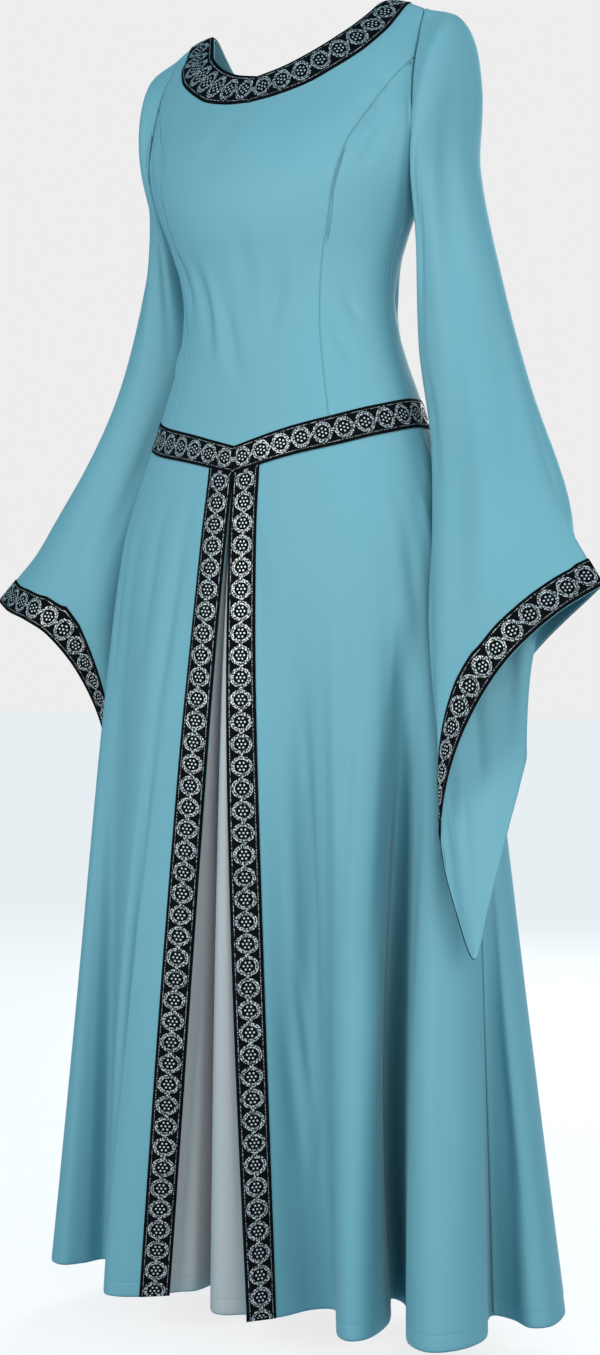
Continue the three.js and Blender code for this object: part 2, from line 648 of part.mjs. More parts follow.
// Where the ribbon's upper edge crosses a line that runs down the sleeve: where the line
// meets the hem at a slant, it takes a longer stretch to leave the ribbon
function trimStart(surface, round) {
  const share = 0.03;
  const turn = 3;
  const hem = surface(round, 1);
  const down = hem.clone().sub(surface(round, 1 - share));
  const along = surface(round + turn, 1).sub(surface(round - turn, 1));
  const slant = Math.max(0.5, Math.sin(down.angleTo(along)));
  return 1 - (ribbonWidth * share) / slant / down.length();
}
const rounds = steps(columnsIn.sleeve).map((t) => t * 360);
for (const [name, side] of [['left', 1], ['right', -1]]) {
  const surface = sleeveSurface(name, side);
  const starts = rounds.map((round) => trimStart(surface, round));
  const body = steps(rowsIn.sleeve)
    .map((t) => rounds.map((round, index) => [round, lerp(sleeveTop, starts[index], t)]));
  const cuff = steps(rowsIn.sleeveTrim)
    .map((t) => rounds.map((round, index) => [round, lerp(starts[index], 1, t)]));
  const sizes = { stepA: 1, stepB: 0.004, flip: -side };
  add(`sleeve_${name}`, wall([body, cuff], surface, sizes), aqua);
  add(`sleeve_trim_${name}`, wall([cuff], surface, { ...sizes, ...onCloth }), braid);
}

export default gown;
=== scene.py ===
# %% [markdown]
# This lesson dresses a medieval gown: smooth light blue crepe with a slight sheen, a white
# inset behind the parted skirt, and a black ribbon woven with a silver ring braid.
#
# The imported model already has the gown's panels as thin rigid walls. Each one is replaced
# here by finer cloth on the same form, because cloth wants soft creases and a woven
# finish. Every length in the tables is in millimetres, and a piece is brought to metres
# when its vertices are placed.

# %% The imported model
import json
import math

import bmesh
import bpy
import numpy as np
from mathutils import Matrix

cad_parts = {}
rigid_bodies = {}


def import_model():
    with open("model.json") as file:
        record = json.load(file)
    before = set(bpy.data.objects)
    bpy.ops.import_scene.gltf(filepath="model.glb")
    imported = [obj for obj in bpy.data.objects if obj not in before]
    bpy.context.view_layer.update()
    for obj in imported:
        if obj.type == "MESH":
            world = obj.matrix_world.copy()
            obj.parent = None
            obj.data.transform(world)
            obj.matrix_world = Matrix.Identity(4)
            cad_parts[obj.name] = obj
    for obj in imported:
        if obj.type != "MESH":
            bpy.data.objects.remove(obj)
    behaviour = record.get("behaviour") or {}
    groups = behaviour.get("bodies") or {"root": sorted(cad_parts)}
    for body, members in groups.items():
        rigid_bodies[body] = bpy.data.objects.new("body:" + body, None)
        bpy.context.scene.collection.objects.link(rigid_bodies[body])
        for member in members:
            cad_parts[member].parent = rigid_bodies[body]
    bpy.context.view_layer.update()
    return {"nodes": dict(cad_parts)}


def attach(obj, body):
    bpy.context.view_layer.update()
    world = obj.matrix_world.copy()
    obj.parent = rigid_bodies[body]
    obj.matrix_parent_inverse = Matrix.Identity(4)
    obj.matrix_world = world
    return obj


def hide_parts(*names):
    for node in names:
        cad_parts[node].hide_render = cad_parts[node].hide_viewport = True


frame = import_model()
MM = 0.001
print("nodes:", len(frame["nodes"]))

# %% [markdown]
# The gown was photographed from its left front, level with the middle of its height, from a
# little over two metres away. The camera comes first, so that every later picture can be
# set against the photograph. Its distance and its lens belong together: a longer lens from
# further away would show nearly the same outline, but flatter.

# %% The camera
VIEW_TURN = math.radians(33)
VIEW_DISTANCE = 2.214
VIEW_HEIGHT = -0.712
VIEW_SIDE = 0.0109
LENS = 53.83

camera_data = bpy.data.cameras.new("camera")
camera_data.lens = LENS
camera_data.sensor_width = 36
camera = bpy.data.objects.new("camera", camera_data)
bpy.context.scene.collection.objects.link(camera)
camera.location = (
    VIEW_DISTANCE * math.sin(VIEW_TURN) + VIEW_SIDE * math.cos(VIEW_TURN),
    -VIEW_DISTANCE * math.cos(VIEW_TURN) + VIEW_SIDE * math.sin(VIEW_TURN),
    VIEW_HEIGHT,
)
camera.rotation_euler = (math.radians(90), 0, VIEW_TURN)
bpy.context.scene.camera = camera
print("camera at", [round(c, 3) for c in camera.location])

# %% [markdown]
# A dressmaker works from a table of measurements, and so does this gown. Each table gives
# the body's half width, depth and so on at a few levels, and a smooth curve joins its rows.
# A cubic curve with slopes taken from the neighbouring rows was chosen over a spline
# object, because it can be read at thousands of points in one call.


# %% Tables of measurements
def table(columns, rows):
    """A table of named columns, each an array."""
    return dict(zip(columns.split(), np.array(rows, float).T))


def between(keys, values, where):
    """Smooth values between rows. The values may have one column for each place."""
    if keys[-1] < keys[0]:
        keys, values = keys[::-1], values[::-1]
    last = len(keys) - 1
    before = np.maximum(np.arange(last + 1) - 1, 0)
    after = np.minimum(np.arange(last + 1) + 1, last)
    run = (keys[after] - keys[before]).reshape([-1] + [1] * (values.ndim - 1))
    slopes = (values[after] - values[before]) / run
    where = np.clip(where, keys[0], keys[-1])
    row = np.clip(np.searchsorted(keys, where, side="right") - 1, 0, last - 1)
    span = keys[row + 1] - keys[row]
    t = (where - keys[row]) / span
    # A row of values for each place is picked from as well as a plain column
    pick = (row,) if values.ndim == 1 else (row, np.arange(len(row)))
    step = (row + 1,) if values.ndim == 1 else (row + 1, np.arange(len(row)))
    ease = t * t * (3 - 2 * t)
    lean = t * (1 - t) * ((1 - t) * slopes[pick] - t * slopes[step]) * span
    return values[pick] + (values[step] - values[pick]) * ease + lean


def read(rows, key, where, column):
    """A column's smooth value where the key column reaches a value."""
    return between(rows[key], rows[column], np.asarray(where, float))


def lerp(start, end, share):
    """The value at a share of the way from start to end."""
    return start + (end - start) * share


FORM = table("at half middle front back corner", [
    (10, 174, 16, 0, 0, 0),
    (0, 176, 15, 9, 8, 0),
    (-10, 177, 14, 19, 16, 0),
    (-20, 178, 13, 32, 27, 0),
    (-30, 180, 12, 44, 37, 0),
    (-60, 181, 10, 66, 57, 0),
    (-100, 181, 8, 86, 77, 0),
    (-140, 180, 5, 104, 89, 0),
    (-170, 171, 3, 113, 94, 0),
    (-195, 160, 1, 117, 95, 0),
    (-220, 148, 0, 116, 94, 0),
    (-245, 138, 0, 111, 91, 0),
    (-275, 129, 0, 101, 87, 0),
    (-310, 126, 0, 94, 85, 0),
    (-345, 130, 0, 93, 89, 0),
    (-375, 138, 0, 95, 96, 0),
    (-410, 151, 0, 99, 105, 0),
    (-450, 165, 0, 104, 115, 0.02),
    (-500, 185, 0, 109, 124, 0.05),
    (-566, 205, 0, 117, 134, 0.08),
    (-700, 222, 0, 127, 144, 0.12),
    (-850, 238, 0, 131, 152, 0.16),
    (-1085, 261, 0, 131, 162, 0.2),
    (-1380, 292, 0, 126, 172, 0.22),
])
# The shoulder rounds over its top and slopes down beyond the neck
SHOULDER_TOP = 10
SHOULDER_ROUND = 40
NECK_POINT = 116
SLOPE_STRAIGHT = 0.1
SLOPE_CURVED = 0.006
SLOPE_FADES_BY = 110
WAIST_LEVEL = -310
HEM_LEVEL = -1380
print("levels in the form:", len(FORM["at"]))

# %% [markdown]
# The body's surface has two coordinates, as a globe has: a turn in degrees, 0 at the front
# and 90 at the wearer's left, and a level. Panels, seams and ribbons are all cut from this
# one surface, so that they fit each other with nothing to adjust.


# %% The body's surface
def points(x, y, z):
    """Three coordinates, numbers or arrays, as rows of one array."""
    return np.stack(np.broadcast_arrays(x, y, z), axis=-1)


def body_point(turn, at):
    """A point of the body at a turn in degrees and a level."""
    at = np.minimum(at, SHOULDER_TOP)
    sine, cosine = np.sin(np.radians(turn)), np.cos(np.radians(turn))
    corner = read(FORM, "at", at, "corner")
    front, back = read(FORM, "at", at, "front"), read(FORM, "at", at, "back")
    deep = np.where(cosine > 0, front, back)
    x = read(FORM, "at", at, "half") * sine * (1 + corner * cosine**2)
    y = read(FORM, "at", at, "middle") - deep * cosine * (1 + corner * sine**2)
    depth = np.clip((SHOULDER_TOP - at) / SHOULDER_ROUND, 0, 1)
    rounded = SHOULDER_TOP - SHOULDER_ROUND * depth * depth * (2 - depth)
    height = np.where(depth < 1, rounded, at)
    past = np.maximum(np.abs(x) - NECK_POINT, 0)
    fall = SLOPE_STRAIGHT * past + SLOPE_CURVED * past * past
    left = np.clip(1 - (SHOULDER_TOP - at) / SLOPE_FADES_BY, 0, 1)
    return points(x, y, height - fall * left)


def outward(point, a, b, step_a, step_b):
    """Outward normals of a surface, from points a small step away."""
    along_a = point(a + step_a, b) - point(a - step_a, b)
    along_b = point(a, b - step_b) - point(a, b + step_b)
    normal = np.cross(along_a, along_b)
    return normal / np.linalg.norm(normal, axis=-1, keepdims=True)


waist = body_point(np.linspace(0, 360, 181), np.full(181, float(WAIST_LEVEL)))
print("waist in mm:", round(float(np.linalg.norm(np.diff(waist, axis=0), axis=1).sum())))

# %% [markdown]
# Worn crepe is never quite smooth. Pulls run from the bust to the waist and from the armpit
# down the sleeve, and they differ in length, depth and spacing. A cloth simulation would
# give them too, but in places of its own choosing. Each crease here is a row given in a
# table: a straight run on the cloth, how wide it is and how far it dips or rises.


# %% Soft creases
CREASE_ENDS = 1.5
CREASE_RIM = 0.7


def creased(rows, across, down):
    """How far creases move the cloth out, in millimetres, at places given in millimetres."""
    moved = np.zeros(np.broadcast(across, down).shape)
    for from_across, from_down, to_across, to_down, width, rise in rows:
        run_across, run_down = to_across - from_across, to_down - from_down
        length = math.hypot(run_across, run_down)
        aside_across, aside_down = across - from_across, down - from_down
        share = (aside_across * run_across + aside_down * run_down) / length**2
        aside = (aside_across * run_down - aside_down * run_across) / length / width
        ends = np.sin(np.pi * np.clip(share, 0, 1)) ** CREASE_ENDS
        moved += rise * ends * (1 - CREASE_RIM * aside**2) * np.exp(-(aside**2))
    return moved


sample = creased([(0, 0, 0, 10, 5, 2.0)], 0.0, 5.0)
print("the middle of a crease that rises 2 mm:", round(float(sample), 2), "mm")

# %% Creases on the bodice
BODY_MM_PER_TURN = 2.3
BODY_STEPS = (0.2, -1.0)
# Each row: across and level of its start, then of its end, its width and its rise
BODY_CREASES = [
    (-75, -250, -38, -372, 13, -4.2),
    (-52, -262, -20, -398, 11, 3.2),
    (-30, -300, 6, -420, 10, -2.9),
    (-112, -236, -84, -330, 12, -3.8),
    (-138, -300, -96, -352, 10, -3.5),
    (-150, -346, -104, -392, 9, 2.9),
    (4, -210, 12, -330, 14, -2.2),
    (52, -262, 30, -372, 12, -3.2),
    (74, -240, 58, -350, 11, 2.6),
    (98, -330, 132, -392, 10, -3.2),
    (118, -296, 150, -346, 9, -2.9),
    (-8, -96, -30, -190, 16, -1.9),
    (30, -104, 46, -182, 16, -1.6),
    (116, -92, 96, -176, 13, -3.5),
    (132, -120, 122, -196, 9, -2.9),
    (-116, -92, -98, -178, 13, -3.5),
    (-132, -118, -122, -196, 9, -2.9),
    (230, -292, 262, -372, 13, -2.2),
    (262, -258, 240, -348, 12, 1.7),
    (300, -296, 276, -392, 12, -2.4),
    (330, -300, 352, -398, 11, -2.2),
    (372, -262, 352, -340, 13, 1.8),
    (394, -300, 420, -384, 11, -2.0),
    (-232, -300, -262, -376, 13, -2.2),
    (-290, -262, -270, -352, 12, 1.6),
    (-318, -300, -346, -392, 12, -2.3),
    (-372, -262, -352, -342, 12, 1.6),
    (-396, -310, -418, -390, 11, -2.0),
    (104, -66, 128, -108, 6, -1.8),
    (98, -84, 126, -122, 6, 1.5),
    (100, -104, 124, -140, 6, -1.7),
    (-104, -70, -126, -112, 6, -1.7),
    (-98, -92, -124, -132, 6, 1.4),
]


def on_body(turn, at, lift=0):
    """The body's cloth, creased, and a lift above it."""
    wrapped = (turn + 180) % 360 - 180
    rise = creased(BODY_CREASES, wrapped * BODY_MM_PER_TURN, at) + lift
    return body_point(turn, at) + outward(body_point, turn, at, *BODY_STEPS) * rise[:, None]


print("creases on the body:", len(BODY_CREASES))

# %% [markdown]
# A finish on cloth has to follow the cloth. Each piece therefore carries a UV map in
# metres: along the cloth, and up from its hem, so that a weave, a braid or a line of
# stitches keeps its real size wherever the cloth bends.
#
# Every piece starts as a flat grid of squares, which is the shape that cloth has before it
# is worn. Its vertices are then laid on the surface. An inset loop close to the outline
# lets the edge roll in slightly, as a seamed or hemmed edge does, and a Solidify modifier
# gives the cloth its thickness.

# %% Laying a cloth
EDGE = 2.2
EDGE_ROLL = 0.5
MERGE = 0.01


def write_map(bm, places):
    """Write each vertex's place on the flat cloth into the UV map."""
    bm.verts.index_update()
    uv_map = bm.loops.layers.uv.new("cloth")
    for face in bm.faces:
        for corner in face.loops:
            corner[uv_map].uv = places[corner.vert.index]


def roll_edge(bm):
    """Inset a narrow loop round the outline, and roll the outline in."""
    bm.normal_update()
    bmesh.ops.inset_region(
        bm, faces=bm.faces, thickness=EDGE * MM, use_boundary=True, use_even_offset=True
    )
    bm.normal_update()
    for vertex in bm.verts:
        if vertex.is_boundary:
            vertex.co -= vertex.normal * EDGE_ROLL * MM


def lay_cloth(name, place, columns, rows, thick, pattern, turned=False, closed=False):
    """Cloth whose place(u, v) gives points, with u along it and v down it, both 0 to 1."""
    bm = bmesh.new()
    bmesh.ops.create_grid(bm, x_segments=columns, y_segments=rows, size=0.5)
    flat = np.array([vertex.co[:2] for vertex in bm.verts])
    u, v = flat[:, 0] + 0.5, 0.5 - flat[:, 1]
    spots = place(u, v) * MM
    places = np.stack(pattern(u, v), axis=-1)
    for vertex, spot in zip(bm.verts, spots):
        vertex.co = spot
    write_map(bm, places)
    if turned:
        bmesh.ops.reverse_faces(bm, faces=bm.faces)
    if closed:
        bmesh.ops.remove_doubles(bm, verts=bm.verts, dist=MERGE * MM)
    roll_edge(bm)
    for face in bm.faces:
        face.smooth = True
    mesh = bpy.data.meshes.new(name)
    bm.to_mesh(mesh)
    bm.free()
    piece = bpy.data.objects.new(name, mesh)
    bpy.context.scene.collection.objects.link(piece)
    wall = piece.modifiers.new("thickness", "SOLIDIFY")
    wall.thickness = thick * MM
    wall.offset = -1
    return piece


def sew(piece, node, material, flat):
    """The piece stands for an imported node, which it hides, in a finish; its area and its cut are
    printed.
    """
    piece.data.materials.append(material)
    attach(piece, "root")
    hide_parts(node)
    size = sum(face.area for face in piece.data.polygons)
    print(f"{piece.name}: {size:.4f} square metres of cloth, cut {flat}")


# %% [markdown]
# A finish is a small graph of shader nodes. Node by node it takes many lines, so a helper
# makes a node, joins it and hands back its result in one short call. A number that is the
# same all over a piece goes straight onto the shader's own socket.


# %% Finishes: a helper for node maths
class Finish:
    """A material whose nodes are made and joined in short calls."""

    def __init__(self, name):
        self.material = bpy.data.materials.new(name)
        self.material.use_nodes = True
        self.nodes = self.material.node_tree.nodes
        self.links = self.material.node_tree.links
        self.shader = self.nodes["Principled BSDF"]

    def put(self, socket, value):
        if isinstance(value, bpy.types.NodeSocket):
            self.links.new(value, socket)
        else:
            socket.default_value = value

    def math(self, operation, *values):
        node = self.nodes.new("ShaderNodeMath")
        node.operation = operation
        for socket, value in zip(node.inputs, values):
            self.put(socket, value)
        return node.outputs[0]

    def away(self, value, other):
        """How far a value is from another one, on either side."""
        return self.math("ABSOLUTE", self.math("SUBTRACT", value, other))

    def length(self, x, y):
        """How far a place is from the middle."""
        squares = self.math("ADD", self.math("MULTIPLY", x, x), self.math("MULTIPLY", y, y))
        return self.math("SQRT", squares)

    def edge(self, distance, half, soft):
        """1 where a distance is under half, 0 beyond it, with a soft edge."""
        node = self.nodes.new("ShaderNodeMapRange")
        node.interpolation_type = "SMOOTHSTEP"
        self.put(node.inputs["Value"], distance)
        node.inputs["From Min"].default_value = half + soft
        node.inputs["From Max"].default_value = half - soft
        return node.outputs["Result"]

    def mix(self, share, first, second):
        """The first colour where the share is 0, and the second where it is 1."""
        node = self.nodes.new("ShaderNodeMix")
        node.data_type = "RGBA"
        self.put(node.inputs[0], share)
        self.put(node.inputs[6], first)
        self.put(node.inputs[7], second)
        return node.outputs[2]

    def noise(self, vector, scale, detail=2.0):
        node = self.nodes.new("ShaderNodeTexNoise")
        self.put(node.inputs["Vector"], vector)
        node.inputs["Scale"].default_value = scale
        node.inputs["Detail"].default_value = detail
        return node.outputs["Fac"]

    def range(self, value, low, high):
        node = self.nodes.new("ShaderNodeMapRange")
        self.put(node.inputs["Value"], value)
        node.inputs["To Min"].default_value = low
        node.inputs["To Max"].default_value = high
        return node.outputs["Result"]

    def bump(self, height, distance, strength=1.0, normal=None):
        node = self.nodes.new("ShaderNodeBump")
        node.inputs["Strength"].default_value = strength
        node.inputs["Distance"].default_value = distance
        self.put(node.inputs["Height"], height)
        if normal is not None:
            self.put(node.inputs["Normal"], normal)
        return node.outputs["Normal"]

    def cloth_place(self):
        """The UV map's vector and its two numbers, in metres."""
        source = self.nodes.new("ShaderNodeUVMap")
        source.uv_map = "cloth"
        split = self.nodes.new("ShaderNodeSeparateXYZ")
        self.links.new(source.outputs[0], split.inputs[0])
        return source.outputs[0], split.outputs[0], split.outputs[1]

    def object_place(self):
        return self.nodes.new("ShaderNodeTexCoord").outputs["Object"]


# %% [markdown]
# The main cloth is a smooth crepe. Its colour hardly varies, so what tells it from paint is
# a soft sheen where it turns away, a pebbled surface under a millimetre across, and slightly
# uneven dye. A photographed cloth would need an image, so noise makes the surface and the
# dye, and the shader's own sheen the rest. The same material draws the hem's line of
# stitches, 16 mm above the edge, from the height that the UV map carries. The white inset is
# the same kind of cloth, with almost no sheen.

# %% The line of stitches
HEM_STITCH = 0.016
STITCH_LONG = 0.0032
STITCH_SHARE = 0.36
THREAD_HALF = 0.0004
GROOVE_HALF = 0.0012


def hem_stitches(finish):
    """1 on the stitches of the hem's line, and 1 in the soft groove round them."""
    _, along, above = finish.cloth_place()
    off_line = finish.away(above, HEM_STITCH)
    off_middle = finish.away(finish.math("FRACT", finish.math("DIVIDE", along, STITCH_LONG)), 0.5)
    on_line = finish.edge(off_line, THREAD_HALF, 0.0002)
    thread = finish.math("MULTIPLY", on_line, finish.edge(off_middle, STITCH_SHARE, 0.06))
    return thread, finish.edge(off_line, GROOVE_HALF, 0.0011)


# %% The crepe and the white lining cloth
AQUA_PALE, AQUA_DEEP = (0.18, 0.38, 0.425), (0.154, 0.35, 0.395)
WHITE_PALE, WHITE_DEEP = (0.54, 0.48, 0.455), (0.46, 0.42, 0.41)
PEBBLE_SCALE = 1400.0
PEBBLE_HIGH = 0.00012
DYE_SCALE = 5.0
GROOVE_DEEP = 0.0004
THREAD_SHADE = 0.35


def crepe(name, pale, deep, roughness, sheen):
    """A matt dress cloth with a pebbled surface, uneven dye and a stitched hem."""
    finish = Finish(name)
    place, _, _ = finish.cloth_place()
    thread, groove = hem_stitches(finish)
    dye = finish.range(finish.noise(finish.object_place(), DYE_SCALE, 3.0), 0.0, 1.0)
    dyed = finish.mix(dye, (*pale, 1), (*deep, 1))
    shaded = finish.mix(finish.math("MULTIPLY", thread, THREAD_SHADE), dyed, (*deep, 1))
    finish.put(finish.shader.inputs["Base Color"], shaded)
    finish.put(finish.shader.inputs["Roughness"], roughness)
    finish.put(finish.shader.inputs["Sheen Weight"], sheen)
    finish.put(finish.shader.inputs["Sheen Roughness"], 0.4)
    finish.put(finish.shader.inputs["Specular IOR Level"], 0.3)
    surface = finish.bump(finish.noise(place, PEBBLE_SCALE, 1.0), PEBBLE_HIGH, 0.35)
    lined = finish.math("SUBTRACT", 1.0, groove)
    finish.put(finish.shader.inputs["Normal"], finish.bump(lined, GROOVE_DEEP, 0.6, surface))
    return finish.material


aqua = crepe("aqua crepe", AQUA_PALE, AQUA_DEEP, roughness=0.68, sheen=0.2)
white = crepe("white lining cloth", WHITE_PALE, WHITE_DEEP, roughness=0.75, sheen=0.05)
print("cloth finishes:", aqua.name, "and", white.name)

# %% [markdown]
# The ribbon is a traditional braid of rings: two silver strands cross between each ring
# and the next, and every ring holds seven dots, one in the middle and six round it. It is
# woven in silver on black, 33 mm wide, and repeats every 23 mm. Modelling each thread would
# take millions of faces, so the braid is drawn from the UV map by distances: how far a place
# is from the ring, from the crossing strand and from the nearest dot. Silver threads stand
# up a little, so the same masks also make the bump.

# %% The braid's measures, and a place on it
RIBBON = 33.0
REPEAT = 23.0
RING = 10.0
OVAL = 1.16
STRAND = 1.95
CROSSING = 1.35
CROSSING_REACH = 5.4
CROSSING_GAP = 0.6
DARK_LINE = 0.5
BEATS = 22.0
DOT_RING = 4.15
DOT = 1.0
BORDER = 14.1
DASHES = 9.0
BLUR = 0.25


def braid_place(finish):
    """Repeats along the ribbon, and a place in millimetres from the middle of its ring."""
    _, along, across = finish.cloth_place()
    run = finish.math("DIVIDE", finish.math("MULTIPLY", along, 1000.0), REPEAT)
    x = finish.math("MULTIPLY", finish.math("SUBTRACT", finish.math("FRACT", run), 0.5), REPEAT)
    y = finish.math("SUBTRACT", finish.math("MULTIPLY", across, 1000.0), RIBBON / 2)
    return run, x, y


# %% Rings and crossing strands
def braid_strands(finish, x, y):
    """Masks of the silver strands, and of the line of dark stitches along them."""
    # Each ring is an oval, shorter along the ribbon than across it
    off_ring = finish.away(finish.length(finish.math("MULTIPLY", x, OVAL), y), RING)
    ring = finish.edge(off_ring, STRAND, BLUR)
    # The crossing lies half a repeat away from the middle of the ring
    past = finish.math("SUBTRACT", finish.math("ABSOLUTE", x), REPEAT / 2)
    off_x = finish.math("MULTIPLY", past, finish.math("SIGN", x))
    slant = finish.math("MULTIPLY", finish.math("ADD", off_x, y), math.sqrt(0.5))
    reach = finish.math("MULTIPLY", finish.math("SUBTRACT", off_x, y), math.sqrt(0.5))
    off_slant = finish.math("ABSOLUTE", slant)
    near = finish.edge(finish.math("ABSOLUTE", reach), CROSSING_REACH, 0.8)
    over = finish.math("MULTIPLY", finish.edge(off_slant, CROSSING, BLUR), near)
    gap = finish.math("MULTIPLY", finish.edge(off_slant, CROSSING + CROSSING_GAP, BLUR), near)
    under = finish.math("MULTIPLY", ring, finish.math("SUBTRACT", 1.0, gap))
    strands = finish.math("MAXIMUM", under, over)
    # Dark stitches run along the middle of each strand, in a steady beat
    crossing_line = finish.math("MULTIPLY", finish.edge(off_slant, 0.3, BLUR), near)
    middle = finish.math("MAXIMUM", finish.edge(off_ring, DARK_LINE, 0.3), crossing_line)
    beat = finish.math("SINE", finish.math("MULTIPLY", finish.math("ARCTAN2", y, x), BEATS))
    return strands, finish.math("MULTIPLY", middle, finish.edge(beat, 0.45, 0.4))


# %% Dots and borders
def braid_dots(finish, x, y):
    """One dot in the middle and six round it, by folding the turn onto one of the six."""
    radius = finish.length(x, y)
    sixth = math.pi / 3
    angle = finish.math("FLOORED_MODULO", finish.math("ARCTAN2", y, x), sixth)
    folded = finish.math("SUBTRACT", angle, sixth / 2)
    dot_x = finish.math("MULTIPLY", radius, finish.math("COSINE", folded))
    dot_y = finish.math("MULTIPLY", radius, finish.math("SINE", folded))
    off_dot = finish.length(finish.math("SUBTRACT", dot_x, DOT_RING), dot_y)
    return finish.math("MAXIMUM", finish.edge(off_dot, DOT, BLUR), finish.edge(radius, DOT, BLUR))


def braid_borders(finish, run, y):
    """The two border lines, in short dashes."""
    off_border = finish.away(finish.math("ABSOLUTE", y), BORDER)
    dash = finish.away(finish.math("FRACT", finish.math("MULTIPLY", run, DASHES)), 0.5)
    return finish.math("MULTIPLY", finish.edge(off_border, 0.5, 0.2), finish.edge(dash, 0.4, 0.06))


# %% The woven ribbon's finish
SILVER = (0.66, 0.65, 0.63, 1)
DIPPED_THREAD = (0.015, 0.015, 0.015, 1)
DARK_THREAD = (0.02, 0.02, 0.022, 1)
BLACK_LOW = (0.001, 0.001, 0.0015, 1)
BLACK_HIGH = (0.004, 0.004, 0.005, 1)
GRAIN_SCALE = 560.0
GRAIN_LEVEL = 0.515
WEAVE_SCALE = 1500.0
WEAVE_HIGH = 0.00015
SILVER_HIGH = 0.0004


def woven_ribbon():
    """Silver threads on black, speckled where a thread dips into the weave."""
    finish = Finish("woven ribbon")
    place, _, _ = finish.cloth_place()
    run, x, y = braid_place(finish)
    strands, dark = braid_strands(finish, x, y)
    dots = braid_dots(finish, x, y)
    silver = finish.math("MAXIMUM", strands, dots)
    silver = finish.math("MAXIMUM", silver, braid_borders(finish, run, y))
    weave = finish.noise(place, WEAVE_SCALE, 2.0)
    grains = finish.edge(finish.noise(place, GRAIN_SCALE, 1.0), GRAIN_LEVEL, 0.05)
    grains = finish.math("MULTIPLY", grains, finish.math("SUBTRACT", 1.0, dots))
    thread = finish.mix(grains, SILVER, DIPPED_THREAD)
    thread = finish.mix(finish.math("MULTIPLY", dark, 0.9), thread, DARK_THREAD)
    ground = finish.mix(weave, BLACK_LOW, BLACK_HIGH)
    finish.put(finish.shader.inputs["Base Color"], finish.mix(silver, ground, thread))
    finish.put(finish.shader.inputs["Metallic"], finish.math("MULTIPLY", silver, 0.3))
    finish.put(finish.shader.inputs["Roughness"], finish.range(silver, 0.8, 0.4))
    finish.put(finish.shader.inputs["Specular IOR Level"], 0.05)
    surface = finish.bump(weave, WEAVE_HIGH, 0.4)
    finish.put(finish.shader.inputs["Normal"], finish.bump(silver, SILVER_HIGH, 0.5, surface))
    return finish.material


ribbon = woven_ribbon()
print("ribbon nodes:", len(ribbon.node_tree.nodes))

# %% [markdown]
# A panel is cut on the body's surface between four seams. It could be cut out of a whole
# body with a Boolean, which leaves ragged faces along the cut. Blending the four edges
# inwards, as a Coons patch does, gives every panel a clean grid that ends exactly on its
# seams, so neighbours meet without a gap.


# %% Cutting a panel between four edges
def fill(top, bottom, left, right):
    """Turn and level inside four edges, each a function of 0 to 1, that share corners."""
    def inside(u, v):
        pairs = []
        for axis in (0, 1):
            across = lerp(left(v)[axis], right(v)[axis], u)
            down = lerp(top(u)[axis], bottom(u)[axis], v)
            upper = lerp(top(0 * u)[axis], top(0 * u + 1)[axis], u)
            lower = lerp(bottom(0 * u)[axis], bottom(0 * u + 1)[axis], u)
            pairs.append(across + down - lerp(upper, lower, v))
        return pairs
    return inside


def straight(start, end):
    """A straight edge from one turn and level to another."""
    return lambda t: (lerp(start[0], end[0], t), lerp(start[1], end[1], t))


def joined(share, first, second):
    """One edge made of two, which meet at a share of its length."""
    def run(t):
        early = first(np.clip(t / share, 0, 1))
        late = second(np.clip((t - share) / (1 - share), 0, 1))
        return [np.where(t <= share, a, b) for a, b in zip(early, late)]
    return run


def mirrored(edge):
    """The same edge on the other side of the side seam, for the back."""
    return lambda t: (180 - edge(t)[0], edge(t)[1])


# %% [markdown]
# The neckline is cut wide and shallow. The armhole runs from the shoulder tip down to the
# underarm, and a princess seam leaves it a third of the way down and runs over the bust to
# the hip. The hip seam dips to a point in front. Each seam is a table of turns and levels,
# which are easier to compare with the photograph than points in space.

# %% Seams: neckline, armhole, princess seam and hip
NECKLINE = table("turn upper lower", [
    (0, -71, -103),
    (9, -64, -100),
    (16, -54, -95),
    (22.5, -41, -88),
    (29, -25, -77),
    (35, -9, -66),
    (41, 10, -53),
    (48, 10, -28),
    (55.5, 10, 10),
])
BACK_NECKLINE = table("turn upper lower", [
    (124.5, 10, 10),
    (132, 10, -24),
    (139, 10, -48),
    (145, -26, -66),
    (152, -44, -78),
    (164, -54, -87),
    (180, -58, -90),
])
NECK_END_UPPER, NECK_END_LOWER = 41, 55.5
ARMHOLE = table("along turn at", [
    (0, 66, 10),
    (0.25, 66, -40),
    (0.5, 67.5, -95),
    (0.7, 72, -147),
    (0.85, 79.5, -177),
    (1, 90, -195),
])
PRINCESS_START = 0.33
PRINCESS = table("at turn", [
    (-58, 65.9),
    (-82, 58),
    (-107, 51.5),
    (-130, 46.5),
    (-160, 43),
    (-200, 43.5),
    (-240, 45),
    (-290, 42.5),
    (-350, 40),
    (-450, 38),
    (-500, 37.5),
])
HIP = table("turn upper lower", [
    (0, -469, -498),
    (20, -453, -483),
    (40, -441, -472),
    (60, -430, -461),
    (90, -419, -450),
    (180, -414, -446),
])
SHOULDER_TURN = 66
print("neckline's depth, front and back, in mm:", NECKLINE["upper"][0], BACK_NECKLINE["upper"][-1])


# %% Edges that follow the seams
def armhole(t):
    """Turn and level of the armhole, from the shoulder tip at 0 to the underarm at 1."""
    return read(ARMHOLE, "along", t, "turn"), read(ARMHOLE, "along", t, "at")


def armhole_part(start, end):
    return lambda t: armhole(lerp(start, end, t))


def hip_edge(start, end):
    """The panel's foot, on the lower edge of the hip seam's ribbon."""
    def run(t):
        turn = lerp(start, end, t)
        return turn, read(HIP, "turn", turn, "lower")
    return run


